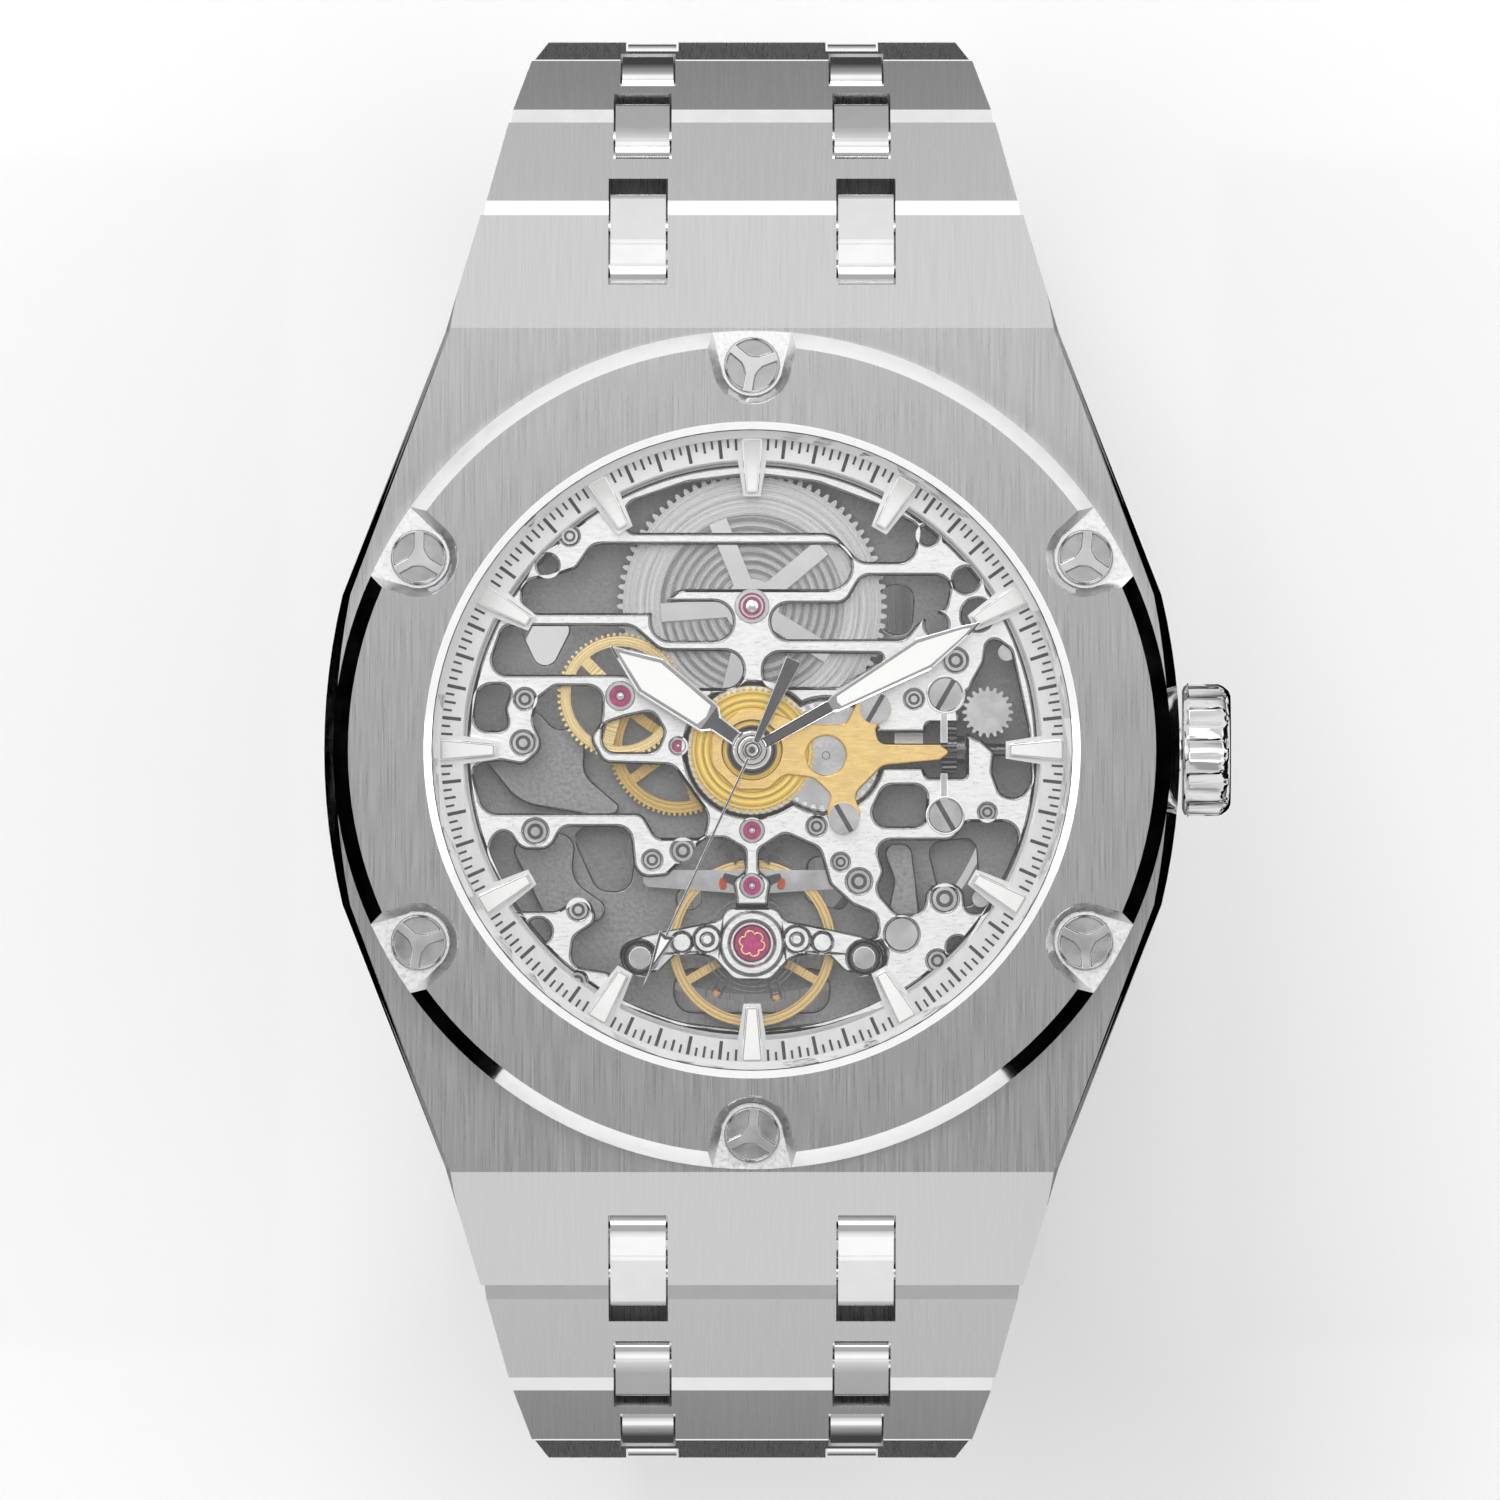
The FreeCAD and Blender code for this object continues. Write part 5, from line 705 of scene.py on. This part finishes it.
def detents():
    """Two springs of the keyless works, each hooked round its screw."""
    form = bmesh.new()
    top = level("mainplate")
    for low, high, screw_y in ((0.35, 1.95, 2.72), (-2.5, -1.15, -3.22)):
        prism(form, [(9.25, low), (9.6, low), (9.6, high), (9.25, high)], top - 0.25, top + 0.02)
        flat_ring(form, (9.5, screw_y), 0.82, 0.98, top - 0.2, top + 0.04)
    finish_piece("detent_springs", form, "case", bright_metal, 0.03)


def regulator():
    """Two small regulator arms below the balance bridge, with gilt pins."""
    form = bmesh.new()
    pins = bmesh.new()
    arm = [(-0.28, 0.9), (-0.16, 0.9), (-0.1, 0.25), (0.1, 0.25), (0.16, 0.9), (0.28, 0.9), (0.3, 0.1),
           (0.2, -0.15), (-0.2, -0.15), (-0.3, 0.1)]
    for x, y, lean in ((-1.75, -11.95, -25), (1.2, -12.15, 12)):
        prism(form, [(x + a, y + b) for a, b in (around(*spot, lean) for spot in arm)], 6.1, 6.35)
        lathe(pins, [(0, 6.0), (0.2, 6.0), (0.2, 6.45), (0.12, 6.52), (0, 6.52)], (x, y), 20)
    finish_piece("regulator_arms", form, "case", dark_steel, 0.03)
    finish_piece("regulator_pins", pins, "case", rose_gilt)


jewel_settings()
pivots()
shock_spring()
pallet_stones()
centre_collar()
detents()
hub_rings()
flange()
arrow_lume()
regulator()
minute_track()
marker_lume()
hand_lume("hour_lume", "hour_hand", "hour_arbor",
          [(0.0, 2.78), (0.56, 2.92), (0.8, 6.12), (0.0, 8.1), (-0.8, 6.12), (-0.56, 2.92)])
hand_lume("minute_lume", "minute_hand", "minute_arbor",
          [(0.0, 4.8), (0.26, 4.9), (0.62, 9.65), (0.14, 11.9), (0.0, 12.3), (-0.14, 11.9), (-0.62, 9.65),
           (-0.26, 4.9)])


# ---------------------------------------------------------------- studio, in metres
FLOOR_HALF = 4.0
FLOOR_GAP = 0.0002


def pale_floor():
    """Plain pale floor under the bracelet."""
    mesh = bpy.data.meshes.new("floor")
    form = bmesh.new()
    bmesh.ops.create_grid(form, x_segments=1, y_segments=1, size=FLOOR_HALF)
    form.to_mesh(mesh)
    form.free()
    piece = bpy.data.objects.new("floor", mesh)
    piece.location.z = cad_box[0].z - FLOOR_GAP
    mesh.materials.append(painted("floor_white", (1.0, 1.0, 1.0), 0.6))
    bpy.context.scene.collection.objects.link(piece)


def area(name, place, size, power):
    """A soft rectangular light aimed at the watch."""
    light = bpy.data.lights.new(name, "AREA")
    light.shape = "RECTANGLE"
    light.size, light.size_y = size
    light.energy = power
    lamp = bpy.data.objects.new(name, light)
    lamp.location = place
    lamp.rotation_mode = "QUATERNION"
    lamp.rotation_quaternion = (-Vector(place)).to_track_quat("-Z", "Y")
    bpy.context.scene.collection.objects.link(lamp)


def reflected_card(name, low, high, axis, tones):
    """A card that only reflections see, with tones of (place in metres along an axis, brightness)."""
    made = Surface(name, (0, 0, 0), 0.0, 1.0)
    made.shader.inputs["Specular IOR Level"].default_value = 0
    split = made.add("ShaderNodeSeparateXYZ")
    made.link(made.position, split.inputs[0])
    start, end = tones[0][0], tones[-1][0]
    share = made.add("ShaderNodeMapRange")
    share.inputs["From Min"].default_value = start
    share.inputs["From Max"].default_value = end
    made.link(split.outputs[axis], share.inputs["Value"])
    ramp = made.add("ShaderNodeValToRGB")
    for place, tone in tones[1:-1]:
        ramp.color_ramp.elements.new((place - start) / (end - start)).color = (tone, tone, tone, 1)
    ramp.color_ramp.elements[0].color = (*[tones[0][1]] * 3, 1)
    ramp.color_ramp.elements[-1].color = (*[tones[-1][1]] * 3, 1)
    made.link(share.outputs["Result"], ramp.inputs["Fac"])
    made.link(ramp.outputs["Color"], made.shader.inputs["Emission Color"])
    made.shader.inputs["Emission Strength"].default_value = 1.0
    form = bmesh.new()
    if low[2] == high[2]:
        spots = [low, (high[0], low[1], low[2]), high, (low[0], high[1], low[2])]
    else:
        spots = [low, (high[0], high[1], low[2]), high, (low[0], low[1], high[2])]
    form.faces.new([form.verts.new(spot) for spot in spots])
    mesh = bpy.data.meshes.new(name)
    form.to_mesh(mesh)
    form.free()
    mesh.materials.append(made.material)
    piece = bpy.data.objects.new(name, mesh)
    bpy.context.scene.collection.objects.link(piece)
    piece.visible_camera = False
    piece.visible_shadow = False
    piece.visible_diffuse = False
    piece.visible_transmission = False


pale_floor()

# black cards round each flank, which the polished facets and the bezel's chamfer mirror
CARD_DISTANCE, CARD_STEPS = 0.16, 8
CARD_FOOT, CARD_TOP = -0.04, 0.05
for side, word in ((1, "right"), (-1, "left")):
    for i in range(CARD_STEPS):
        first, last = (62 + 80 * n / CARD_STEPS for n in (i, i + 1))
        near, far = (around(0, CARD_DISTANCE, -side * degrees) for degrees in (first, last))
        reflected_card(f"black_card_{word}_{i}", (*near, CARD_FOOT), (*far, CARD_TOP), "Z",
                       [(CARD_FOOT, 0), (CARD_TOP, 0)])

# overhead: darker over the 6 o'clock half
reflected_card("overhead_card", (-0.3, -0.3, 0.45), (0.3, 0.3, 0.45), "Y",
               [(-0.3, 0.44), (0.0, 0.46), (0.06, 1.7), (0.3, 1.7)])

# on the floor, seen only in reflections: painted shadow, dark close to the bracelet's two ends and under
# the flanks, light further away
CARD_HEIGHT = cad_box[0].z + 0.0005
FLOOR_SHADOW_TONES = [(0.041, 0.03), (0.055, 0.16), (0.08, 0.46), (0.2, 0.8), (0.4, 1.0), (1.2, 1.1)]
for side, word in ((1, "12"), (-1, "6")):
    tones = sorted((side * place, tone) for place, tone in FLOOR_SHADOW_TONES)
    reflected_card(f"shadow_floor_card_{word}", (-0.2, tones[0][0], CARD_HEIGHT), (0.2, tones[-1][0], CARD_HEIGHT),
                   "Y", tones)
for side, word in ((1, "right"), (-1, "left")):
    low, high = sorted((side * 0.0235, side * 0.07))
    reflected_card(f"flank_shadow_floor_{word}", (low, -0.03, CARD_HEIGHT), (high, 0.03, CARD_HEIGHT), "X",
                   [(low, 0.0), (high, 0.0)])

area("key", (-0.15, 0.5, 0.6), (0.3, 0.3), 1.6)
area("from_left", (-0.7, 0.1, 0.45), (0.4, 0.8), 0.8)
area("from_right", (0.7, 0.1, 0.45), (0.4, 0.8), 0.8)


def studio_world():
    """A white tent: bright walls and a greyer top, by the height of the direction looked in."""
    world = bpy.data.worlds.new("studio")
    bpy.context.scene.world = world
    world.use_nodes = True
    nodes, links = world.node_tree.nodes, world.node_tree.links
    direction = nodes.new("ShaderNodeTexCoord")
    split = nodes.new("ShaderNodeSeparateXYZ")
    ramp = nodes.new("ShaderNodeValToRGB")
    tones = ramp.color_ramp
    tones.elements[0].position, tones.elements[1].position = 0.0, 1.0
    tones.elements[0].color = (1, 1, 1, 1)
    tones.elements[1].color = (0.5, 0.5, 0.5, 1)
    for position, tone in ((0.4, 1.0), (0.75, 0.72)):
        tones.elements.new(position).color = (tone, tone, tone, 1)
    links.new(direction.outputs["Generated"], split.inputs[0])
    links.new(split.outputs["Z"], ramp.inputs["Fac"])
    links.new(ramp.outputs["Color"], nodes["Background"].inputs["Color"])
    nodes["Background"].inputs["Strength"].default_value = 1.05


studio_world()
bpy.context.scene.view_settings.view_transform = "Standard"

# straight above and far away, with a long lens that leaves next to no perspective
VIEW_WIDTH = 73.5 * MM
LENS, SENSOR = 900.0, 36.0
camera_data = bpy.data.cameras.new("camera")
camera_data.lens = LENS
camera_data.sensor_width = SENSOR
camera = bpy.data.objects.new("camera", camera_data)
bpy.context.scene.collection.objects.link(camera)
camera.location = (-0.1 * MM, 0, level("bezel") * MM + VIEW_WIDTH * LENS / SENSOR)
camera_data.clip_start = 0.01
camera_data.clip_end = 20
bpy.context.scene.camera = camera
